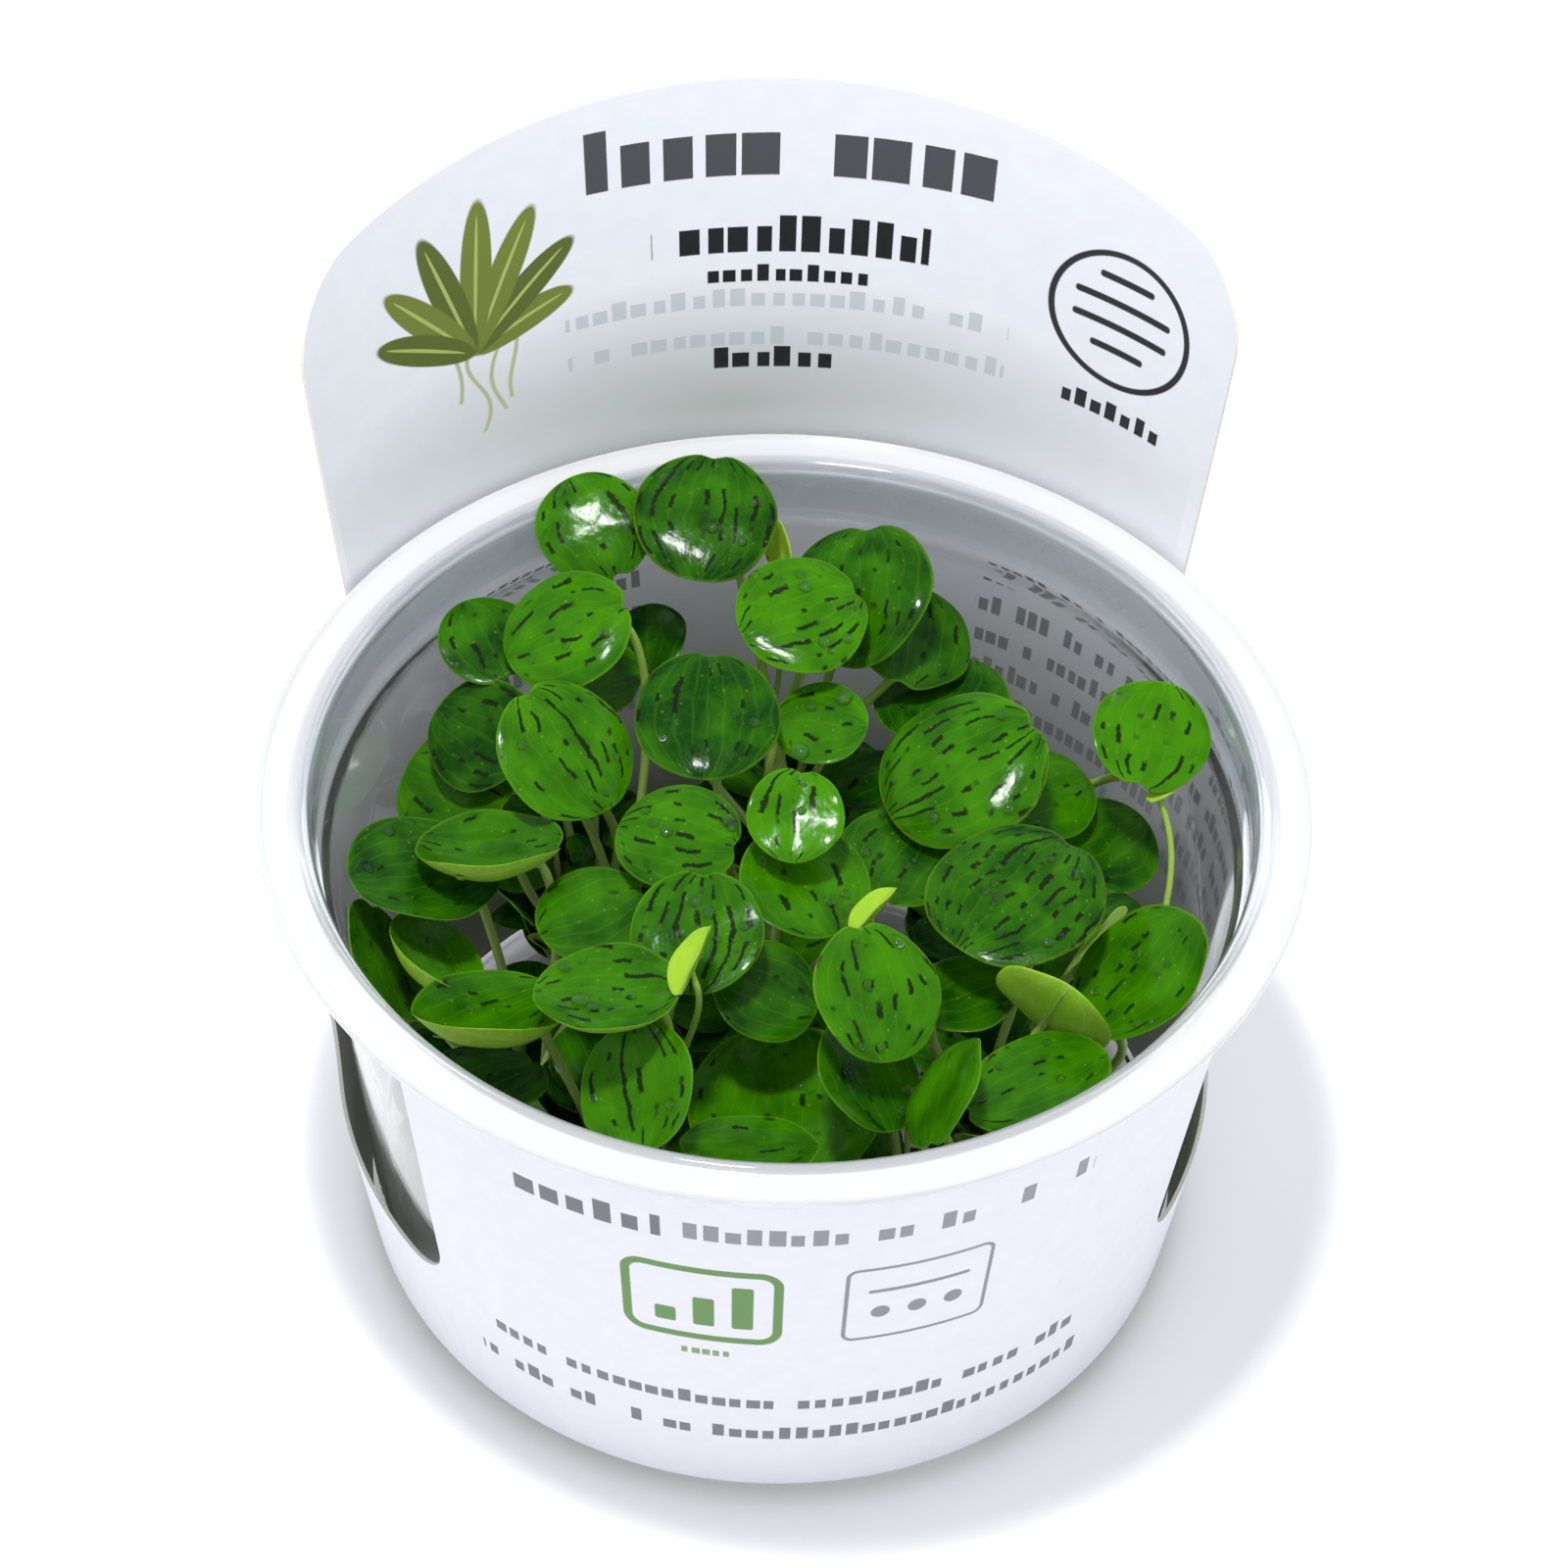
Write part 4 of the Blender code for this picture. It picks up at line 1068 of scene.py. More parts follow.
def blade_shape(blade, number, rays, rings):
    """Points, faces, slots, grain and margin of one blade. Slot 0 is its top and slot 1 its underside."""
    along, across, lift, share = blade_rings(blade, number, rays, rings)
    thick = HALF_THICKNESS * np.sqrt(1 - share[:, None] ** THINNING_POWER) * np.ones(rays)
    top = blade.place(along, across, lift + thick).reshape(-1, 3)
    below = blade.place(along, across, lift - thick)[:-1].reshape(-1, 3)
    over_under = np.array((1, -1)) * HALF_THICKNESS
    centres = blade.place(np.full(2, blade.notch_to_middle), np.zeros(2), over_under)
    points = np.concatenate((centres, top, below))

    lengthways, bow = blade.among_veins(along, across)
    apart = np.full(lengthways.shape, LEAF_APART * number)
    grain_top = np.stack((lengthways, bow, apart), axis=-1)
    grain_middle = np.tile((blade.notch_to_middle, 0, LEAF_APART * number), (2, 1))
    grain = np.concatenate((grain_middle, grain_top.reshape(-1, 3), grain_top[:-1].reshape(-1, 3)))
    margins = np.repeat(share, rays)
    margin = np.concatenate(((0, 0), margins, margins[:-rays]))

    upper = [2 + ring * rays for ring in range(rings)]
    lower = [2 + rings * rays + ring * rays for ring in range(rings - 1)] + [upper[-1]]
    faces = [[0, upper[0] + i, upper[0] + (i + 1) % rays] for i in range(rays)]
    for a, b in zip(upper, upper[1:]):
        faces += ring_faces(b, a, rays)
    top_count = len(faces)
    faces += [[1, lower[0] + (i + 1) % rays, lower[0] + i] for i in range(rays)]
    for a, b in zip(lower, lower[1:]):
        faces += ring_faces(a, b, rays)
    slots = [0] * top_count + [1] * (len(faces) - top_count)
    return points, faces, slots, grain, margin


points, faces, *_ = blade_shape(blades[0], 1, 40, 10)
print("a coarse blade has", len(points), "points and", len(faces), "faces")

# %% [markdown]
# ## The stalks
# A stalk rises from its plantlet's crown and bends into the notch. The CAD part bows some stalks aside
# so that they miss each other. First come the curve itself and the stalk's foot.

# %% Curve and foot
CROWN_TOP = 15.0
FOOT_GAP = 0.8
STALK_RING = 2.5


def bezier(points, shares):
    """Points on the cubic curve with these four control points."""
    shares = np.asarray(shares, float)[:, None]
    rest = 1 - shares
    a, b, c, d = points
    return rest**3 * a + 3 * rest**2 * shares * b + 3 * rest * shares**2 * c + shares**3 * d


def stalk_foot(blade):
    """Where the stalk starts, in a ring on the crown, in the order of the leaves' directions."""
    crown = np.array((*CROWNS[blade.plant][:2], CROWN_TOP + FOOT_GAP))
    own = [other.notch - crown for other in blades if other.plant == blade.plant]
    turns = sorted(math.atan2(y, x) for x, y, _ in own)
    x, y, _ = blade.notch - crown
    slot = turns[0] + math.tau * turns.index(math.atan2(y, x)) / len(turns)
    return crown, crown + STALK_RING * direction(90, math.degrees(slot))


print("leaf 1's stalk starts at", [round(float(v), 1) for v in stalk_foot(blades[0])[1]], "mm")

# %% [markdown]
# We draw the same family of bowed curves as the CAD part does and keep the one that lies closest to the
# CAD leaf's own points, so the fine stalk runs inside the CAD one.

# %% Nearest curves
STALK_DROP = 0.8
STALK_INSET = 0.55
LEAVES_BACK, LEAVES_DOWN = 0.4, 0.9
BOWS = (0, 3, 6, 9, 12)
BOW_TURNS = range(0, 360, 45)
FOOT_RISE = 0.4
NECK_SHARE, NECK, NECK_BOW = 0.35, 6.0, 0.6
CAD_RINGS = np.linspace(0, 0.8, 5)


def gap_to_cad(points, cad_points):
    """The distances from a few places on this curve to the nearest CAD points, summed."""
    apart = np.linalg.norm(bezier(points, CAD_RINGS)[:, None] - cad_points[None], axis=2)
    return apart.min(axis=1).sum()


def stalk_curve(blade, cad_points):
    """The gap and the control points of the bowed curve that runs nearest the CAD leaf's points."""
    _, start = stalk_foot(blade)
    end = blade.place(STALK_INSET, 0, -STALK_DROP)
    leaving = -(LEAVES_BACK * blade.along + LEAVES_DOWN * blade.up)
    leaving /= np.linalg.norm(leaving)
    span = np.linalg.norm(end - start)
    best = None
    for amount in BOWS:
        for turn in BOW_TURNS:
            bow = direction(90, turn) * amount
            foot = start + np.array((0, 0, FOOT_RISE * span)) + bow
            neck = end + leaving * min(NECK_SHARE * span, NECK) + bow * NECK_BOW
            points = (start, foot, neck, end)
            gap = gap_to_cad(points, cad_points)
            if best is None or gap < best[0] - 1e-6:
                best = (gap, points)
    return best


def cad_vertices(name):
    """The points of a CAD node, in mm."""
    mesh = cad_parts[name].data
    places = np.empty(len(mesh.vertices) * 3, np.float32)
    mesh.vertices.foreach_get("co", places)
    return places.reshape(-1, 3).astype(float) / MM


curves = [stalk_curve(blade, cad_vertices(f"leaf_{number:02d}")) for number, blade in enumerate(blades, 1)]
mean_gap = np.mean([gap for gap, _ in curves]) / len(CAD_RINGS)
print("mean gap from a stalk's middle to the CAD's points, mm:", round(mean_gap, 2))

# %% [markdown]
# The stalk starts inside the crown and is thick at its foot. Past the notch it goes on as the midrib
# under the blade, and fades.

# %% Stalk mesh
STALK_SIDES = 10
STALK_STEPS = 26
FOOT_RADIUS, STALK_RADIUS, RIB_RADIUS = 0.8, 0.42, 0.07
THICK_FOOT, FOOT_THINNING = 5.0, 0.6
ROOT_INWARDS, ROOT_DOWN, ROOT_EASE = 0.35, 3.2, 1.2
RIB_STARTS, RIB_ENDS, RIB_THINNER = 0.18, 0.8, 0.7
YOUNG_SLIMNESS = 0.7


def stalk_shape(blade, curve):
    """The tube from inside the crown, along the stalk's curve and on under the blade as its midrib."""
    crown, start = stalk_foot(blade)
    root = crown + (start - crown) * ROOT_INWARDS - np.array((0, 0, ROOT_DOWN))
    ease = np.array((0, 0, ROOT_EASE))
    below = bezier((root, root + ease, start - ease, start), np.linspace(0, 1, 7))[:-1]
    stem = bezier(curve, np.linspace(0, 1, STALK_STEPS))
    rib_end = blade.radius * 2 * RIB_ENDS
    rib_shares = np.linspace(RIB_STARTS, 1, 9)
    rib = blade.place(STALK_INSET + (rib_end - STALK_INSET) * rib_shares, 0, -HALF_THICKNESS)
    path = np.concatenate((below, stem, rib))
    length = np.concatenate(([0], np.cumsum(np.linalg.norm(np.diff(path, axis=0), axis=1))))
    thinning = np.clip(length / THICK_FOOT, 0, 1) ** FOOT_THINNING
    slimness = YOUNG_SLIMNESS if blade.young else 1.0
    radii = slimness * (FOOT_RADIUS + (STALK_RADIUS - FOOT_RADIUS) * thinning)
    last = len(path) - len(rib)
    radii[last:] = np.linspace(radii[last - 1] * RIB_THINNER, RIB_RADIUS, len(rib))
    return tube(path, radii, STALK_SIDES)


points, _, _ = stalk_shape(blades[0], curves[0][1])
print("leaf 1's stalk rises from", round(points[:, 2].min(), 1), "to", round(points[:, 2].max(), 1), "mm")

# %% [markdown]
# ## Living leaf
# A frogbit leaf is a thin, juicy sheet with a waxy skin. The green is deep because the light crosses
# many cells, and the wax is thin and even, so it adds only small, soft highlights. The veins lie about
# 1.5 mm apart, and dark red-brown streaks a few millimetres long sit on them in broken rows. Tiny pale
# dots are air pockets. The long veins are rows of bows, bent a little by noise, and a net of side veins
# lies between them.

# %% Leaf veins
VEIN_SPACING = 1.5
VEIN_BEND, BEND_LENGTH = 0.8, 10 / 3
QUILT = 1.1


def bent_rows(tree, grain):
    """The long veins' rows: the number of the nearest one, and how far off it a point lies, in spacings."""
    split = add_node(tree, "ShaderNodeSeparateXYZ", {0: grain})
    bend = add_node(tree, "ShaderNodeTexNoise", {"Vector": grain, "Scale": 1 / BEND_LENGTH, "Detail": 1.0})
    bend = add_node(tree, "ShaderNodeMapRange", {"Value": bend, "To Min": -VEIN_BEND, "To Max": VEIN_BEND})
    row = add_node(tree, "ShaderNodeMath", {0: split.outputs["Y"], 1: bend}, operation="ADD")
    row = add_node(tree, "ShaderNodeMath", {0: row, 1: VEIN_SPACING}, operation="DIVIDE")
    nearest = add_node(tree, "ShaderNodeMath", {0: row}, operation="ROUND")
    off = add_node(tree, "ShaderNodeMath", {0: row, 1: nearest}, operation="SUBTRACT")
    return nearest, add_node(tree, "ShaderNodeMath", {0: off}, operation="ABSOLUTE")


def side_veins(tree, grain, width, strength):
    """The net of side veins: strength on its lines, 0 between them."""
    cells = {"Vector": grain, "Scale": 1 / QUILT}
    net = add_node(tree, "ShaderNodeTexVoronoi", cells, feature="DISTANCE_TO_EDGE")
    ends = {"From Min": 0.0, "From Max": width, "To Min": strength, "To Max": 0.0}
    return add_node(tree, "ShaderNodeMapRange", {"Value": net, **ends})


print("long veins every", VEIN_SPACING, "mm, with a net of side veins every", QUILT, "mm")

# %% [markdown]
# The streaks are noise that is drawn out along each row and differs from row to row. Only its peaks
# show, and only near the row's middle. The more marks a leaf has, the lower a peak may be.

# %% Leaf streaks
STREAK_LENGTH = 2.4
ROW_JUMP = 3.7
PEAKS = {"To Min": 0.66, "To Max": 0.46}
PEAK_EDGE = 0.035
RAGGED_WIDTH = 1 / 2.2


def streaks(tree, grain, nearest, off, marks):
    """The dark streaks on the rows: 1 on a streak and 0 beside it."""
    split = add_node(tree, "ShaderNodeSeparateXYZ", {0: grain})
    along = add_node(tree, "ShaderNodeMath", {0: split.outputs["X"], 1: STREAK_LENGTH}, operation="DIVIDE")
    jump = add_node(tree, "ShaderNodeMath", {0: nearest, 1: ROW_JUMP}, operation="MULTIPLY")
    strip = add_node(tree, "ShaderNodeCombineXYZ", {0: along, 1: jump, 2: split.outputs["Z"]})
    dash = add_node(tree, "ShaderNodeTexNoise", {"Vector": strip, "Scale": 1.0, "Detail": 1.0})
    least = add_node(tree, "ShaderNodeMapRange", {"Value": marks, **PEAKS})
    most = add_node(tree, "ShaderNodeMath", {0: least, 1: PEAK_EDGE}, operation="ADD")
    dash = add_node(tree, "ShaderNodeMapRange", {"Value": dash, "From Min": least, "From Max": most})
    ragged = add_node(tree, "ShaderNodeTexNoise", {"Vector": grain, "Scale": 1 / RAGGED_WIDTH, "Detail": 1.0})
    ragged = add_node(tree, "ShaderNodeMath", {0: ragged, 1: 0.3, 2: -0.15}, operation="MULTIPLY_ADD")
    width = add_node(tree, "ShaderNodeMath", {0: off, 1: ragged}, operation="ADD")
    ends = {"From Min": 0.1, "From Max": 0.17, **FADE_OUT}
    width = add_node(tree, "ShaderNodeMapRange", {"Value": width, **ends})
    return add_node(tree, "ShaderNodeMath", {0: dash, 1: width}, operation="MULTIPLY")


print("a streak is about", STREAK_LENGTH, "mm long and", round(0.3 * VEIN_SPACING, 2), "mm wide")

# %% [markdown]
# The top's layers are laid one over another: the leaf's own green with softer patches, the paler veins,
# the streaks, the air dots, and a thin light line round the rim. The wax quilts softly between the
# veins.

# %% Leaf top material
TONE_PATCH, TONE_CHANGE = 4.0, 0.3
VEIN_PALENESS, NET_SHARE = 0.07, 0.35
STREAK_DARKNESS = 0.93
DOT_SPACING, DOT_PALENESS = 1.3, 0.16
RIM_PALENESS = 0.25
WAX_GRAIN = 2 / 3


def leaf_top(name, deep, fresh, streak, rim):
    """The upper face of a leaf, from its deep and fresh green, its streaks' colour and its rim's."""
    settings = {"IOR": 1.42, "Specular_IOR_Level": 0.08, "Coat_Weight": 0.05, "Coat_Roughness": 0.06}
    material, tree, shader = new_material(name, **settings)
    grain = add_node(tree, "ShaderNodeAttribute", attribute_name="grain").outputs["Vector"]
    tone = add_node(tree, "ShaderNodeAttribute", attribute_name="tone").outputs["Fac"]
    marks = add_node(tree, "ShaderNodeAttribute", attribute_name="marks").outputs["Fac"]
    margin = add_node(tree, "ShaderNodeAttribute", attribute_name="margin").outputs["Fac"]

    patch = add_node(tree, "ShaderNodeTexNoise", {"Vector": grain, "Scale": 1 / TONE_PATCH, "Detail": 2.0})
    ends = {"From Min": 0.3, "From Max": 0.7, "To Min": -TONE_CHANGE, "To Max": TONE_CHANGE}
    shade = add_node(tree, "ShaderNodeMapRange", {"Value": patch, **ends})
    shade = add_node(tree, "ShaderNodeMath", {0: tone, 1: shade}, operation="ADD", use_clamp=True)
    green = {"Fac": shade, "Color1": srgb(deep), "Color2": srgb(fresh)}
    colour = add_node(tree, "ShaderNodeMixRGB", green)

    nearest, off = bent_rows(tree, grain)
    ends = {"From Min": 0.02, "From Max": 0.14, **FADE_OUT}
    vein = add_node(tree, "ShaderNodeMapRange", {"Value": off, **ends})
    net = side_veins(tree, grain, 0.14, NET_SHARE)
    pale = add_node(tree, "ShaderNodeMath", {0: vein, 1: net}, operation="MAXIMUM")
    pale = add_node(tree, "ShaderNodeMath", {0: pale, 1: VEIN_PALENESS}, operation="MULTIPLY")
    colour = add_node(tree, "ShaderNodeMixRGB", {"Fac": pale, "Color1": colour, "Color2": srgb(rim)})

    mark = streaks(tree, grain, nearest, off, marks)
    mark = add_node(tree, "ShaderNodeMath", {0: mark, 1: STREAK_DARKNESS}, operation="MULTIPLY")
    colour = add_node(tree, "ShaderNodeMixRGB", {"Fac": mark, "Color1": colour, "Color2": srgb(streak)})

    dots = add_node(tree, "ShaderNodeTexVoronoi", {"Vector": grain, "Scale": 1 / DOT_SPACING})
    ends = {"From Min": 0.07, "From Max": 0.13, "To Min": DOT_PALENESS, "To Max": 0.0}
    dot = add_node(tree, "ShaderNodeMapRange", {"Value": dots.outputs["Distance"], **ends})
    colour = add_node(tree, "ShaderNodeMixRGB", {"Fac": dot, "Color1": colour, "Color2": srgb("#a3c24e")})
    ends = {"From Min": 0.96, "From Max": 1.0, "To Min": 0.0, "To Max": RIM_PALENESS}
    edge = add_node(tree, "ShaderNodeMapRange", {"Value": margin, **ends})
    colour = add_node(tree, "ShaderNodeMixRGB", {"Fac": edge, "Color1": colour, "Color2": srgb(rim)})

    quilt = add_node(tree, "ShaderNodeTexNoise", {"Vector": grain, "Scale": 0.8 / QUILT, "Detail": 2.0})
    relief = add_node(tree, "ShaderNodeBump", {"Height": quilt, "Strength": 0.3, "Distance": 0.2 * MM})
    wax = add_node(tree, "ShaderNodeTexNoise", {"Vector": grain, "Scale": 1 / WAX_GRAIN, "Detail": 3.0})
    ends = {"From Min": 0.3, "From Max": 0.7, "To Min": 0.1, "To Max": 0.22}
    gloss = add_node(tree, "ShaderNodeMapRange", {"Value": wax, **ends})
    connect(tree, shader, Base_Color=colour, Roughness=gloss, Normal=relief)
    return material


top_skin = leaf_top("frogbit leaf, waxy top", "#0a3c04", "#3c8000", "#101a06", "#84b024")
young_skin = leaf_top("young frogbit leaf, top", "#6f9f1a", "#95bd30", "#5b5a1c", "#c3d878")
print("leaf top nodes:", len(top_skin.node_tree.nodes))

# %% [markdown]
# The underside has no wax, and its cells hold air, so it is paler, yellower and duller than the top.

# %% Underside material
UNDERSIDE_RIBS = 0.35


def leaf_underside(name, deep, fresh):
    """The lower face of a leaf."""
    material, tree, shader = new_material(name, IOR=1.4, Specular_IOR_Level=0.3)
    grain = add_node(tree, "ShaderNodeAttribute", attribute_name="grain").outputs["Vector"]
    split = add_node(tree, "ShaderNodeSeparateXYZ", {0: grain})
    patch = add_node(tree, "ShaderNodeTexNoise", {"Vector": grain, "Scale": 1 / TONE_PATCH, "Detail": 3.0})
    colour = add_node(tree, "ShaderNodeMixRGB", {"Fac": patch, "Color1": srgb(deep), "Color2": srgb(fresh)})
    row = add_node(tree, "ShaderNodeMath", {0: split.outputs["Y"], 1: VEIN_SPACING}, operation="DIVIDE")
    off = add_node(tree, "ShaderNodeMath", {0: row, 1: 1.0}, operation="PINGPONG")
    ends = {"From Min": 0.0, "From Max": 0.16, **FADE_OUT}
    vein = add_node(tree, "ShaderNodeMapRange", {"Value": off, **ends})
    net = side_veins(tree, grain, 0.12, 0.6)
    ribs = add_node(tree, "ShaderNodeMath", {0: vein, 1: net}, operation="MAXIMUM")
    ribs = add_node(tree, "ShaderNodeMath", {0: ribs, 1: UNDERSIDE_RIBS}, operation="MULTIPLY")
    colour = add_node(tree, "ShaderNodeMixRGB", {"Fac": ribs, "Color1": colour, "Color2": srgb("#c7d98c")})
    relief = add_node(tree, "ShaderNodeBump", {"Height": patch, "Strength": 0.4, "Distance": 0.2 * MM})
    gloss = add_node(tree, "ShaderNodeMapRange", {"Value": patch, "To Min": 0.4, "To Max": 0.6})
    connect(tree, shader, Base_Color=colour, Roughness=gloss, Normal=relief)
    return material


under_skin = leaf_underside("frogbit leaf, underside", "#7fb81c", "#a8d636")
print("leaf underside nodes:", len(under_skin.node_tree.nodes))

# %% [markdown]
# The stalk is paler still, nearly white at its foot, with fine ribs along it. A root is duller: pale
# where it leaves the stem, and grey-brown further down.

# %% Stalk and root materials
RIBBING = (2.5, 2.5, 0.15)
STALK_GREENS_OVER, ROOT_DULLS_OVER = 30.0, 8.0


def juicy_stem(name, low, high, change):
    """A pale stem or root, whose colour goes from low to high over its first change millimetres."""
    material, tree, shader = new_material(name, IOR=1.4, Specular_IOR_Level=0.4)
    grain = add_node(tree, "ShaderNodeAttribute", attribute_name="grain").outputs["Vector"]
    split = add_node(tree, "ShaderNodeSeparateXYZ", {0: grain})
    fade = add_node(tree, "ShaderNodeMapRange", {"Value": split.outputs["Z"], "From Max": change})
    colour = add_node(tree, "ShaderNodeMixRGB", {"Fac": fade, "Color1": srgb(low), "Color2": srgb(high)})
    ribbed = add_node(tree, "ShaderNodeVectorMath", {0: grain, 1: RIBBING}, operation="MULTIPLY")
    ribs = add_node(tree, "ShaderNodeTexNoise", {"Vector": ribbed, "Scale": 1.0, "Detail": 2.0})
    ends = {"From Min": 0.35, "From Max": 0.7, "To Max": 0.5}
    share = add_node(tree, "ShaderNodeMapRange", {"Value": ribs, **ends})
    colour = add_node(tree, "ShaderNodeMixRGB", {"Fac": share, "Color1": colour, "Color2": srgb("#8aa455")})
    relief = add_node(tree, "ShaderNodeBump", {"Height": ribs, "Strength": 0.5, "Distance": 0.1 * MM})
    gloss = add_node(tree, "ShaderNodeMapRange", {"Value": ribs, "To Min": 0.25, "To Max": 0.45})
    connect(tree, shader, Base_Color=colour, Roughness=gloss, Normal=relief)
    return material


stalk_skin = juicy_stem("leaf stalk, juicy", "#bccf8c", "#8fb345", STALK_GREENS_OVER)
root_skin = juicy_stem("root, pale and wet", "#b9bc98", "#76774a", ROOT_DULLS_OVER)
print("materials so far:", len(bpy.data.materials))

# %% [markdown]
# Now each leaf becomes one piece: blade, stalk and midrib. It stands for the CAD leaf of the same
# number.

# %% Build the leaves
LEAF_RAYS, LEAF_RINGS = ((72, 18))

for number, (blade, (_, curve)) in enumerate(zip(blades, curves), 1):
    heap = Heap()
    points, faces, slots, grain, margin = blade_shape(blade, number, LEAF_RAYS, LEAF_RINGS)
    heap.add(points, faces, slots, grain, margin=margin, tone=blade.tone, marks=blade.marks)
    points, faces, grain = stalk_shape(blade, curve)
    heap.add(points, faces, 2, grain)
    top = young_skin if blade.young else top_skin
    leaf = heap.piece(f"frogbit_leaf_{number:02d}", [top, under_skin, stalk_skin])
    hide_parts(f"leaf_{number:02d}")
print("one leaf has", len(leaf.data.polygons), "faces")

# %% [markdown]
# ## The crowns
# Under the tall leaves each plantlet has a short stem, wrapped in the thin sheaths of its leaf stalks.
# Small leaves rise round it in tiers, and its roots hang down and spread over the cup's floor, with
# fine hairs along them. The CAD crown is a solid that reaches as far as these leaves and roots do, and
# this piece fills it.
#
# A low leaf starts at a wished place. While a tall leaf's stalk passes through it, it moves aside a
# little, at random, and shrinks.

# %% Low leaves
STALK_ROOM = 0.5
TRIES = 30
LOW_TONES, LOW_MARKS = (0.0, 0.45), (0.1, 0.6)
LOW_CURL = -0.05
TURN_ASIDE, SHIFT_UP, SHRINK = 12, (-0.7, 0.5), 0.96
LOW_RAYS, LOW_RINGS = 32, 8
LOW_FOOT_OUT, LOW_FOOT_HEIGHT = 0.9, 8.2
LOW_DROP, LOW_SAG, LOW_NECK = 0.25, 0.8, 1.2
LOW_STALK_RADII = np.linspace(0.42, 0.3, 10)

stalk_points = np.concatenate([bezier(points, np.linspace(0, 1, 40)) for _, points in curves])
print("points on tall stalks to keep clear of:", len(stalk_points))


def clear_of_stalks(blade):
    """Whether no tall leaf's stalk passes through this blade."""
    away = stalk_points - blade.middle
    over = np.abs(away @ blade.up)
    aside = np.hypot(away @ blade.along, away @ blade.across)
    return not np.any((over < STALK_ROOM) & (aside < blade.radius + STALK_ROOM))


def low_blade(place, heading, out, height, lean, width, chance):
    """A small blade so far out and so high, or near there where it has room, and its heading; else None."""
    tone, marks = chance.uniform(*LOW_TONES), chance.uniform(*LOW_MARKS)
    for _ in range(TRIES):
        middle = place + direction(90, heading) * out + (0, 0, height)
        blade = Blade("", middle, width, lean, heading + 180, heading, LOW_CURL, 0.0, tone, marks)
        if clear_of_stalks(blade):
            return blade, heading
        heading += chance.uniform(-TURN_ASIDE, TURN_ASIDE)
        height += chance.uniform(*SHIFT_UP)
        width *= SHRINK
    return None


def add_low_leaf(heap, place, blade, heading, number):
    """A small leaf's blade, and its stalk from the stem."""
    points, faces, slots, grain, margin = blade_shape(blade, number, LOW_RAYS, LOW_RINGS)
    heap.add(points, faces, slots, grain, margin=margin, tone=blade.tone, marks=blade.marks)
    outwards = direction(90, heading)
    start = place + outwards * LOW_FOOT_OUT + (0, 0, LOW_FOOT_HEIGHT)
    end = blade.place(STALK_INSET, 0, -LOW_DROP)
    below = start + (end - start) * 0.5 + outwards * LOW_SAG - (0, 0, LOW_SAG)
    steps = np.linspace(0, 1, len(LOW_STALK_RADII))
    path = bezier((start, below, end - blade.along * LOW_NECK, end), steps)
    points, faces, grain = tube(path, LOW_STALK_RADII, 8)
    heap.add(points, faces, 2, grain)


# %% [markdown]
# Three tiers lie nearly level at the rim of the CAD crown and one lies close to the stem. Steeper tiers
# follow the crown's sloping side down to the stem's neck.

# %% Rosette
CROWN_NECK = (2.7, 12.5)
RIM_INSET, RIM_THICKNESS = 0.5, 1.5
# How far in from the crown's rim and how far over it a tier lies, in mm, and its lean in degrees
RIM_TIERS = ((3.2, 1.4, 16), (5.2, -0.8, 24), (3.4, -4.5, 12))
INNER_OUT, INNER_OVER, INNER_LEAN = 1.8, -1.6, 15
TIER_STEP, TIER_INSET, TIER_LESS_STEEP = 4.0, 0.4, 5
SMALL_LEAF = (6.4, 8.0)
CROWDING = 0.72
EVERY_SECOND_LIFT = 0.5


def tiers_of(reach, rim):
    """Each tier's distance from the stem, its height and its lean."""
    tiers = [(reach - inwards, rim + over, lean) for inwards, over, lean in RIM_TIERS]
    tiers.append((INNER_OUT, rim + INNER_OVER, INNER_LEAN))
    neck = np.array(CROWN_NECK)
    slant = np.array((reach - RIM_INSET, rim + RIM_THICKNESS)) - neck
    length = np.linalg.norm(slant)
    steepness = math.degrees(math.atan2(slant[1], slant[0]))
    down = SMALL_LEAF[1] / 2
    while down < length - 1:
        out, height = neck + slant * (1 - down / length)
        tiers.append((out - TIER_INSET, height, steepness - TIER_LESS_STEEP))
        down += TIER_STEP
    return tiers


def add_rosette(heap, place, reach, rim, chance, number):
    """The small leaves of all tiers, where they have room."""
    asked, kept = 0, 0
    for out, height, lean in tiers_of(reach, rim):
        count = round(math.tau * out / (CROWDING * SMALL_LEAF[0]))
        first = chance.uniform(0, 360)
        for index in range(count):
            heading = first + 360 * index / count + chance.uniform(-8, 8)
            width = chance.uniform(*SMALL_LEAF)
            lift = EVERY_SECOND_LIFT * (index % 2)
            tilt = lean + chance.uniform(-5, 5)
            found = low_blade(place, heading, out - lift, height + lift, tilt, width, chance)
            asked += 1
            if found:
                add_low_leaf(heap, place, *found, number + asked)
                kept += 1
    print("low leaves:", kept, "of", asked)


print("tiers of plantlet a:", len(tiers_of(*CROWNS["a"][2:])))

# %% [markdown]
# The stem swells a little at each leaf it bore, and narrow sheaths stand round it, each a golden turn
# on from the one before.

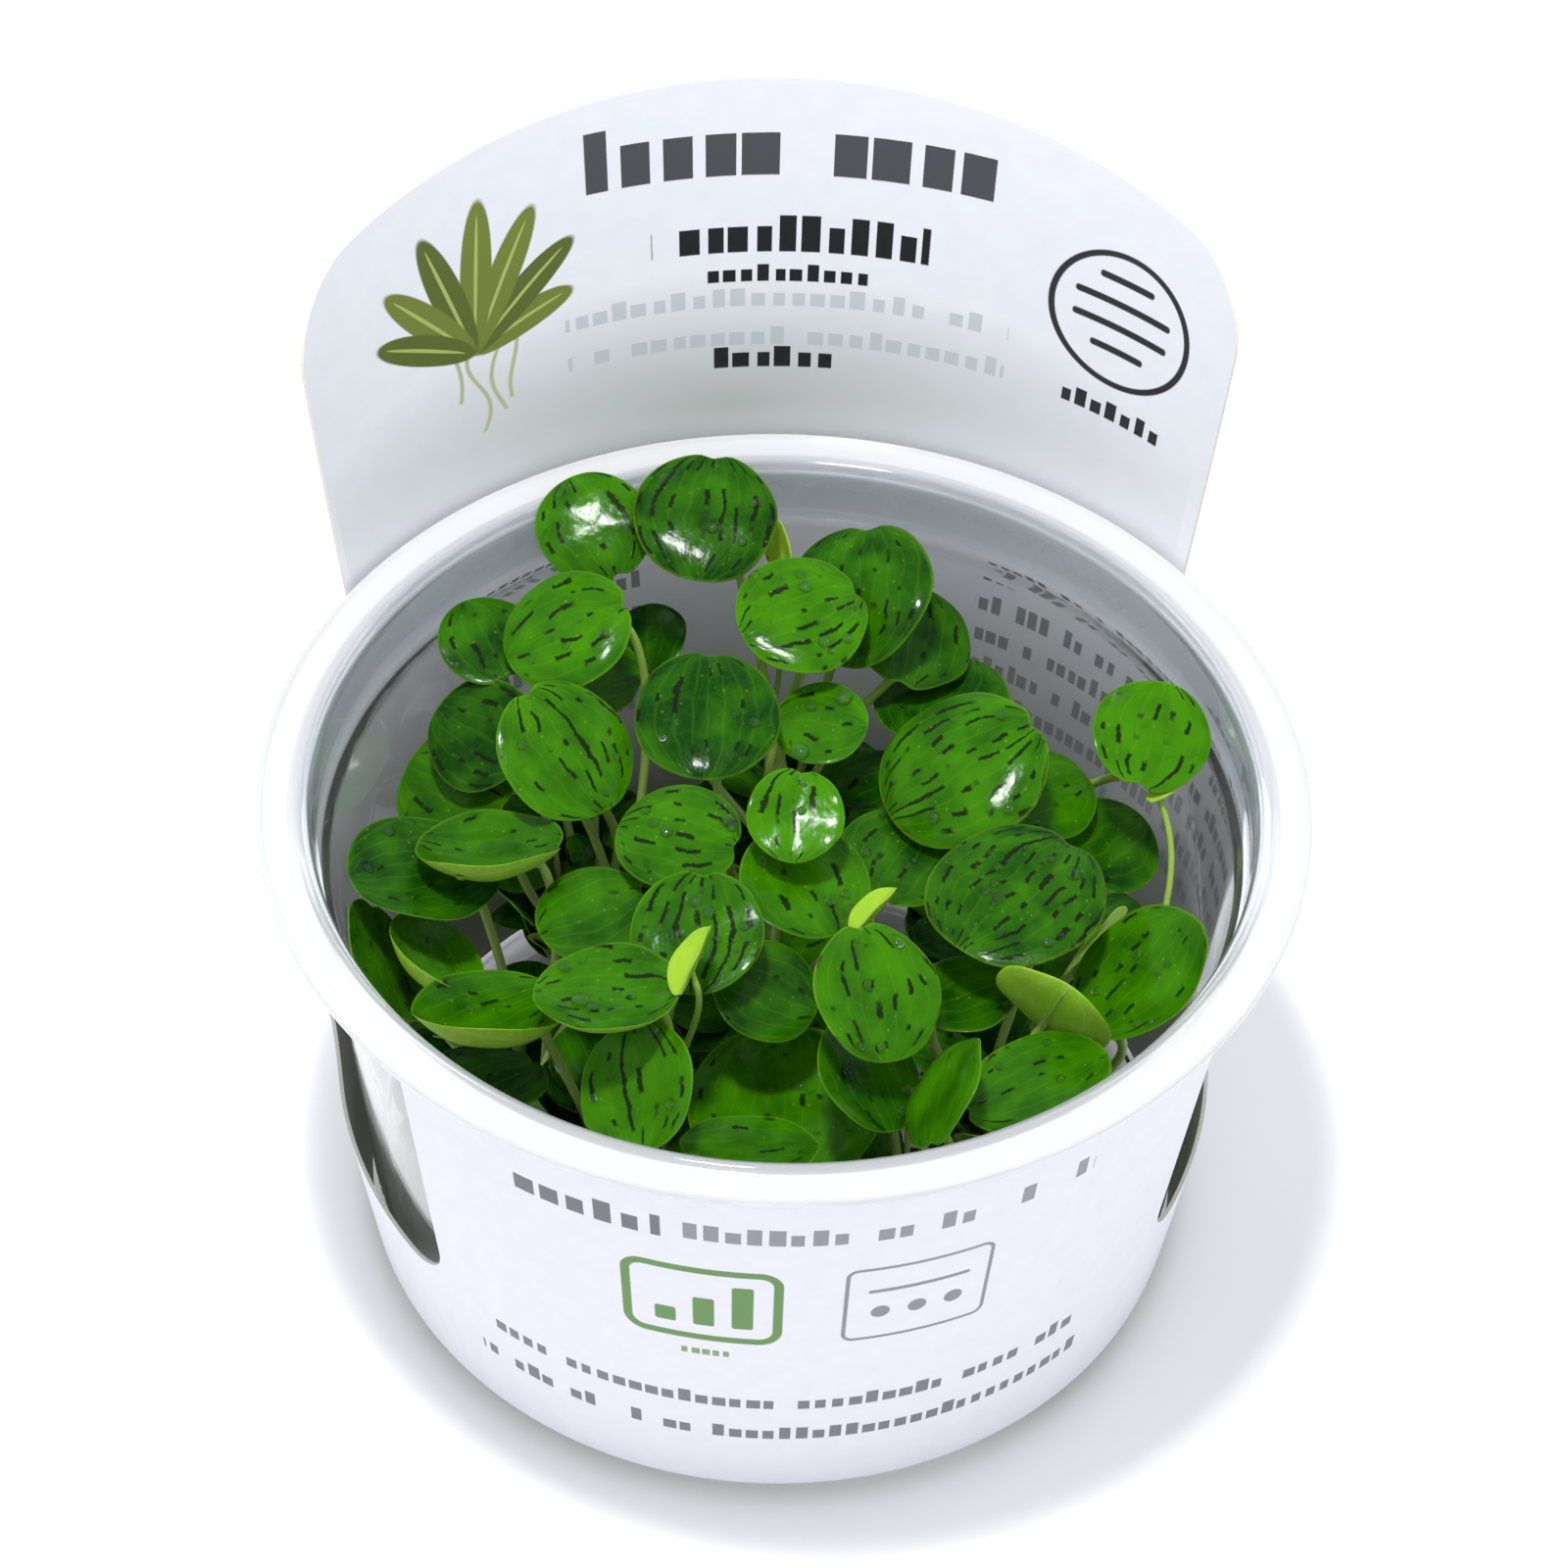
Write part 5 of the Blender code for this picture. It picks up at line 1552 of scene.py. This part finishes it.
# %% Stem and sheaths
STEM_RADIUS, STEM_SWELLING, STEM_SWELLS = 1.5, 0.35, 1.7
STEM_TIP_HEIGHT, STEM_TIP_THINNER = 13.5, 0.5
STEM_HEIGHTS = np.linspace(6.0, 15.0, 12)
STEM_RADII = STEM_RADIUS + STEM_SWELLING * np.sin(STEM_HEIGHTS * STEM_SWELLS)
STEM_RADII = STEM_RADII - STEM_TIP_THINNER * (STEM_HEIGHTS > STEM_TIP_HEIGHT)
SHEATHS = 5
GOLDEN_TURN = 137.5
SHEATH_FOOT_OUT, SHEATH_FOOT_HEIGHT, SHEATH_FOOT_STEP = 1.3, 8.5, 0.5
SHEATH_TIP_OUT, SHEATH_TIP_HEIGHT = 2.4, 14.2
SHEATH_RADII = np.array((0.5, 0.8, 0.95, 1.0, 0.95, 0.8, 0.6, 0.35, 0.1)) * 0.8


def add_stem(heap, place, chance):
    """The short stem, and the pale sheaths round it."""
    nowhere = np.zeros(len(STEM_HEIGHTS))
    path = place + np.column_stack((nowhere, nowhere, STEM_HEIGHTS))
    points, faces, grain = tube(path, STEM_RADII, 16)
    heap.add(points, faces, 2, grain)
    for index in range(SHEATHS):
        outwards = direction(90, GOLDEN_TURN * index + chance.uniform(-10, 10))
        foot_height = SHEATH_FOOT_HEIGHT + SHEATH_FOOT_STEP * index
        foot = place + outwards * SHEATH_FOOT_OUT + (0, 0, foot_height)
        tip = place + outwards * SHEATH_TIP_OUT + (0, 0, SHEATH_TIP_HEIGHT)
        steps = np.linspace(0, 1, len(SHEATH_RADII))
        path = bezier((foot, foot + (0, 0, 2), tip - (0, 0, 2), tip), steps)
        points, faces, grain = tube(path, SHEATH_RADII, 10)
        heap.add(points, faces, 2, grain)


print("stem radius, mm:", round(STEM_RADII.min(), 1), "to", round(STEM_RADII.max(), 1))

# %% [markdown]
# A root leaves the stem, sinks, and bends along the floor. Its hairs stand off on all sides and sag a
# little.

# %% Roots
ROOTS = 20
ROOT_REACH = (4.6, 7.6)
ROOT_TURN, ROOT_BEND = 14, 50
ROOT_TOP, ROOT_LOW, ROOT_END = (6.6, 8.0), (2.2, 3.2), (2.0, 2.6)
ROOT_RADIUS, ROOT_TAPER = 0.26, 0.45
ROOT_STEPS = 20
HAIRS = 26
HAIR_LENGTH = 0.9
HAIR_SAG = 0.06
HAIR_RADII = (0.035, 0.03, 0.01)


def add_roots(heap, place, chance):
    """Roots that hang from the stem, bend along the floor and carry fine hairs."""
    for index in range(ROOTS):
        turn = 360 / ROOTS * index + chance.uniform(-ROOT_TURN, ROOT_TURN)
        reach = chance.uniform(*ROOT_REACH)
        bend = turn + chance.uniform(-ROOT_BEND, ROOT_BEND)
        start = place + direction(90, turn) * 0.9 + (0, 0, chance.uniform(*ROOT_TOP))
        low = place + direction(90, turn) * reach * 0.7 + (0, 0, chance.uniform(*ROOT_LOW))
        end = place + direction(90, bend) * reach + (0, 0, chance.uniform(*ROOT_END))
        steps = np.linspace(0, 1, ROOT_STEPS)
        path = bezier((start, start + direction(120, turn) * 3, low, end), steps)
        radii = np.linspace(ROOT_RADIUS, ROOT_RADIUS * ROOT_TAPER, ROOT_STEPS)
        points, faces, grain = tube(path, radii, 8)
        heap.add(points, faces, 3, grain)
        for _ in range(HAIRS):
            step = chance.randrange(4, ROOT_STEPS - 1)
            out = direction(chance.uniform(60, 120), chance.uniform(0, 360))
            tip = path[step] + out * HAIR_LENGTH * chance.uniform(0.5, 1)
            hair = np.array((path[step], (path[step] + tip) / 2 + (0, 0, HAIR_SAG), tip))
            points, faces, grain = tube(hair, HAIR_RADII, 3)
            heap.add(points, faces, 3, grain)


print("root hairs on a plantlet:", ROOTS * HAIRS)

# %% [markdown]
# Each plantlet has a seed of its own, so no two are alike, and each one is one piece.

# %% Build the plantlets
for number, (plant, (x, y, reach, rim)) in enumerate(CROWNS.items(), 1):
    chance = random.Random(number)
    heap = Heap()
    place = np.array((x, y, 0.0))
    add_rosette(heap, place, reach, rim, chance, number * 100)
    add_stem(heap, place, chance)
    add_roots(heap, place, chance)
    crown = heap.piece(f"plantlet_{plant}", [top_skin, under_skin, stalk_skin, root_skin])
    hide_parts(f"crown_{plant}")
print("one plantlet has", len(crown.data.polygons), "faces")

# %% [markdown]
# ## Water drops
# The leaves are wet, and water stands on their wax as small round drops. A drop is a flattened ball
# sunk a little into the leaf, clear as plain water is, and it shows as a dark rim, a bright dot and a
# lens of lighter green.

# %% Water material
WATER_IOR = 1.333
TREMBLE_WIDTH = 1 / 1.2

water, tree, shader = new_material("water, still", Transmission_Weight=1.0, Roughness=0.0, IOR=WATER_IOR)
shader.inputs["Base Color"].default_value = (1, 1, 1, 1)
grain = add_node(tree, "ShaderNodeAttribute", attribute_name="grain")
tremble = add_node(tree, "ShaderNodeTexNoise", {"Vector": grain, "Scale": 1 / TREMBLE_WIDTH, "Detail": 1.0})
relief = add_node(tree, "ShaderNodeBump", {"Height": tremble, "Strength": 0.15, "Distance": 0.1 * MM})
connect(tree, shader, Normal=relief)
print("water bends light by an index of", WATER_IOR)

# %% Drops
DROP_RADII = (0.22, 0.6)
BIG_DROP, BIG_CHANCE = 1.4, 0.12
DROP_SPREAD = (0.02, 0.75)
DROP_HEIGHT, DROP_LIFT = 0.6, 0.25
NEARBY = 0.1
# How many drops lie on a leaf, by the leaf's number
WET_LEAVES = {
    2: 3, 6: 9, 7: 5, 12: 6, 13: 3, 15: 3, 17: 6, 21: 3, 22: 9, 23: 6, 24: 8, 25: 12,
    26: 4, 27: 3, 28: 9, 31: 5, 32: 7, 34: 4, 36: 6, 38: 3, 41: 6, 44: 4, 45: 5,
}

drops = Heap()
ball_turns = np.linspace(0, np.pi, 11)
ball, ball_faces = turned([(math.sin(turn), -math.cos(turn)) for turn in ball_turns], 18)
for number, count in WET_LEAVES.items():
    blade = blades[number - 1]
    chance = random.Random(number)
    for _ in range(count):
        size = chance.uniform(*DROP_RADII) * (BIG_DROP if chance.random() < BIG_CHANCE else 1)
        out = blade.radius * math.sqrt(chance.uniform(*DROP_SPREAD))
        turn = chance.uniform(0, math.tau)
        along, across = blade.notch_to_middle + out * math.cos(turn), out * math.sin(turn)
        here = blade.place(along, across, HALF_THICKNESS)
        east = blade.place(along + NEARBY, across, HALF_THICKNESS) - here
        north = blade.place(along, across + NEARBY, HALF_THICKNESS) - here
        up = np.cross(east, north)
        up /= np.linalg.norm(up)
        east = east / np.linalg.norm(east)
        axes = np.array((east, np.cross(up, east), up * DROP_HEIGHT))
        points = here + up * size * DROP_HEIGHT * DROP_LIFT + size * ball @ axes
        drops.add(points, ball_faces, 0, points)
drops.piece("water_drops", [water])
print("drops:", sum(WET_LEAVES.values()))

# %% [markdown]
# ## Last step
# The view layer is brought up to date. The fine model may not outgrow the CAD model.

# %% Update
bpy.context.view_layer.update()
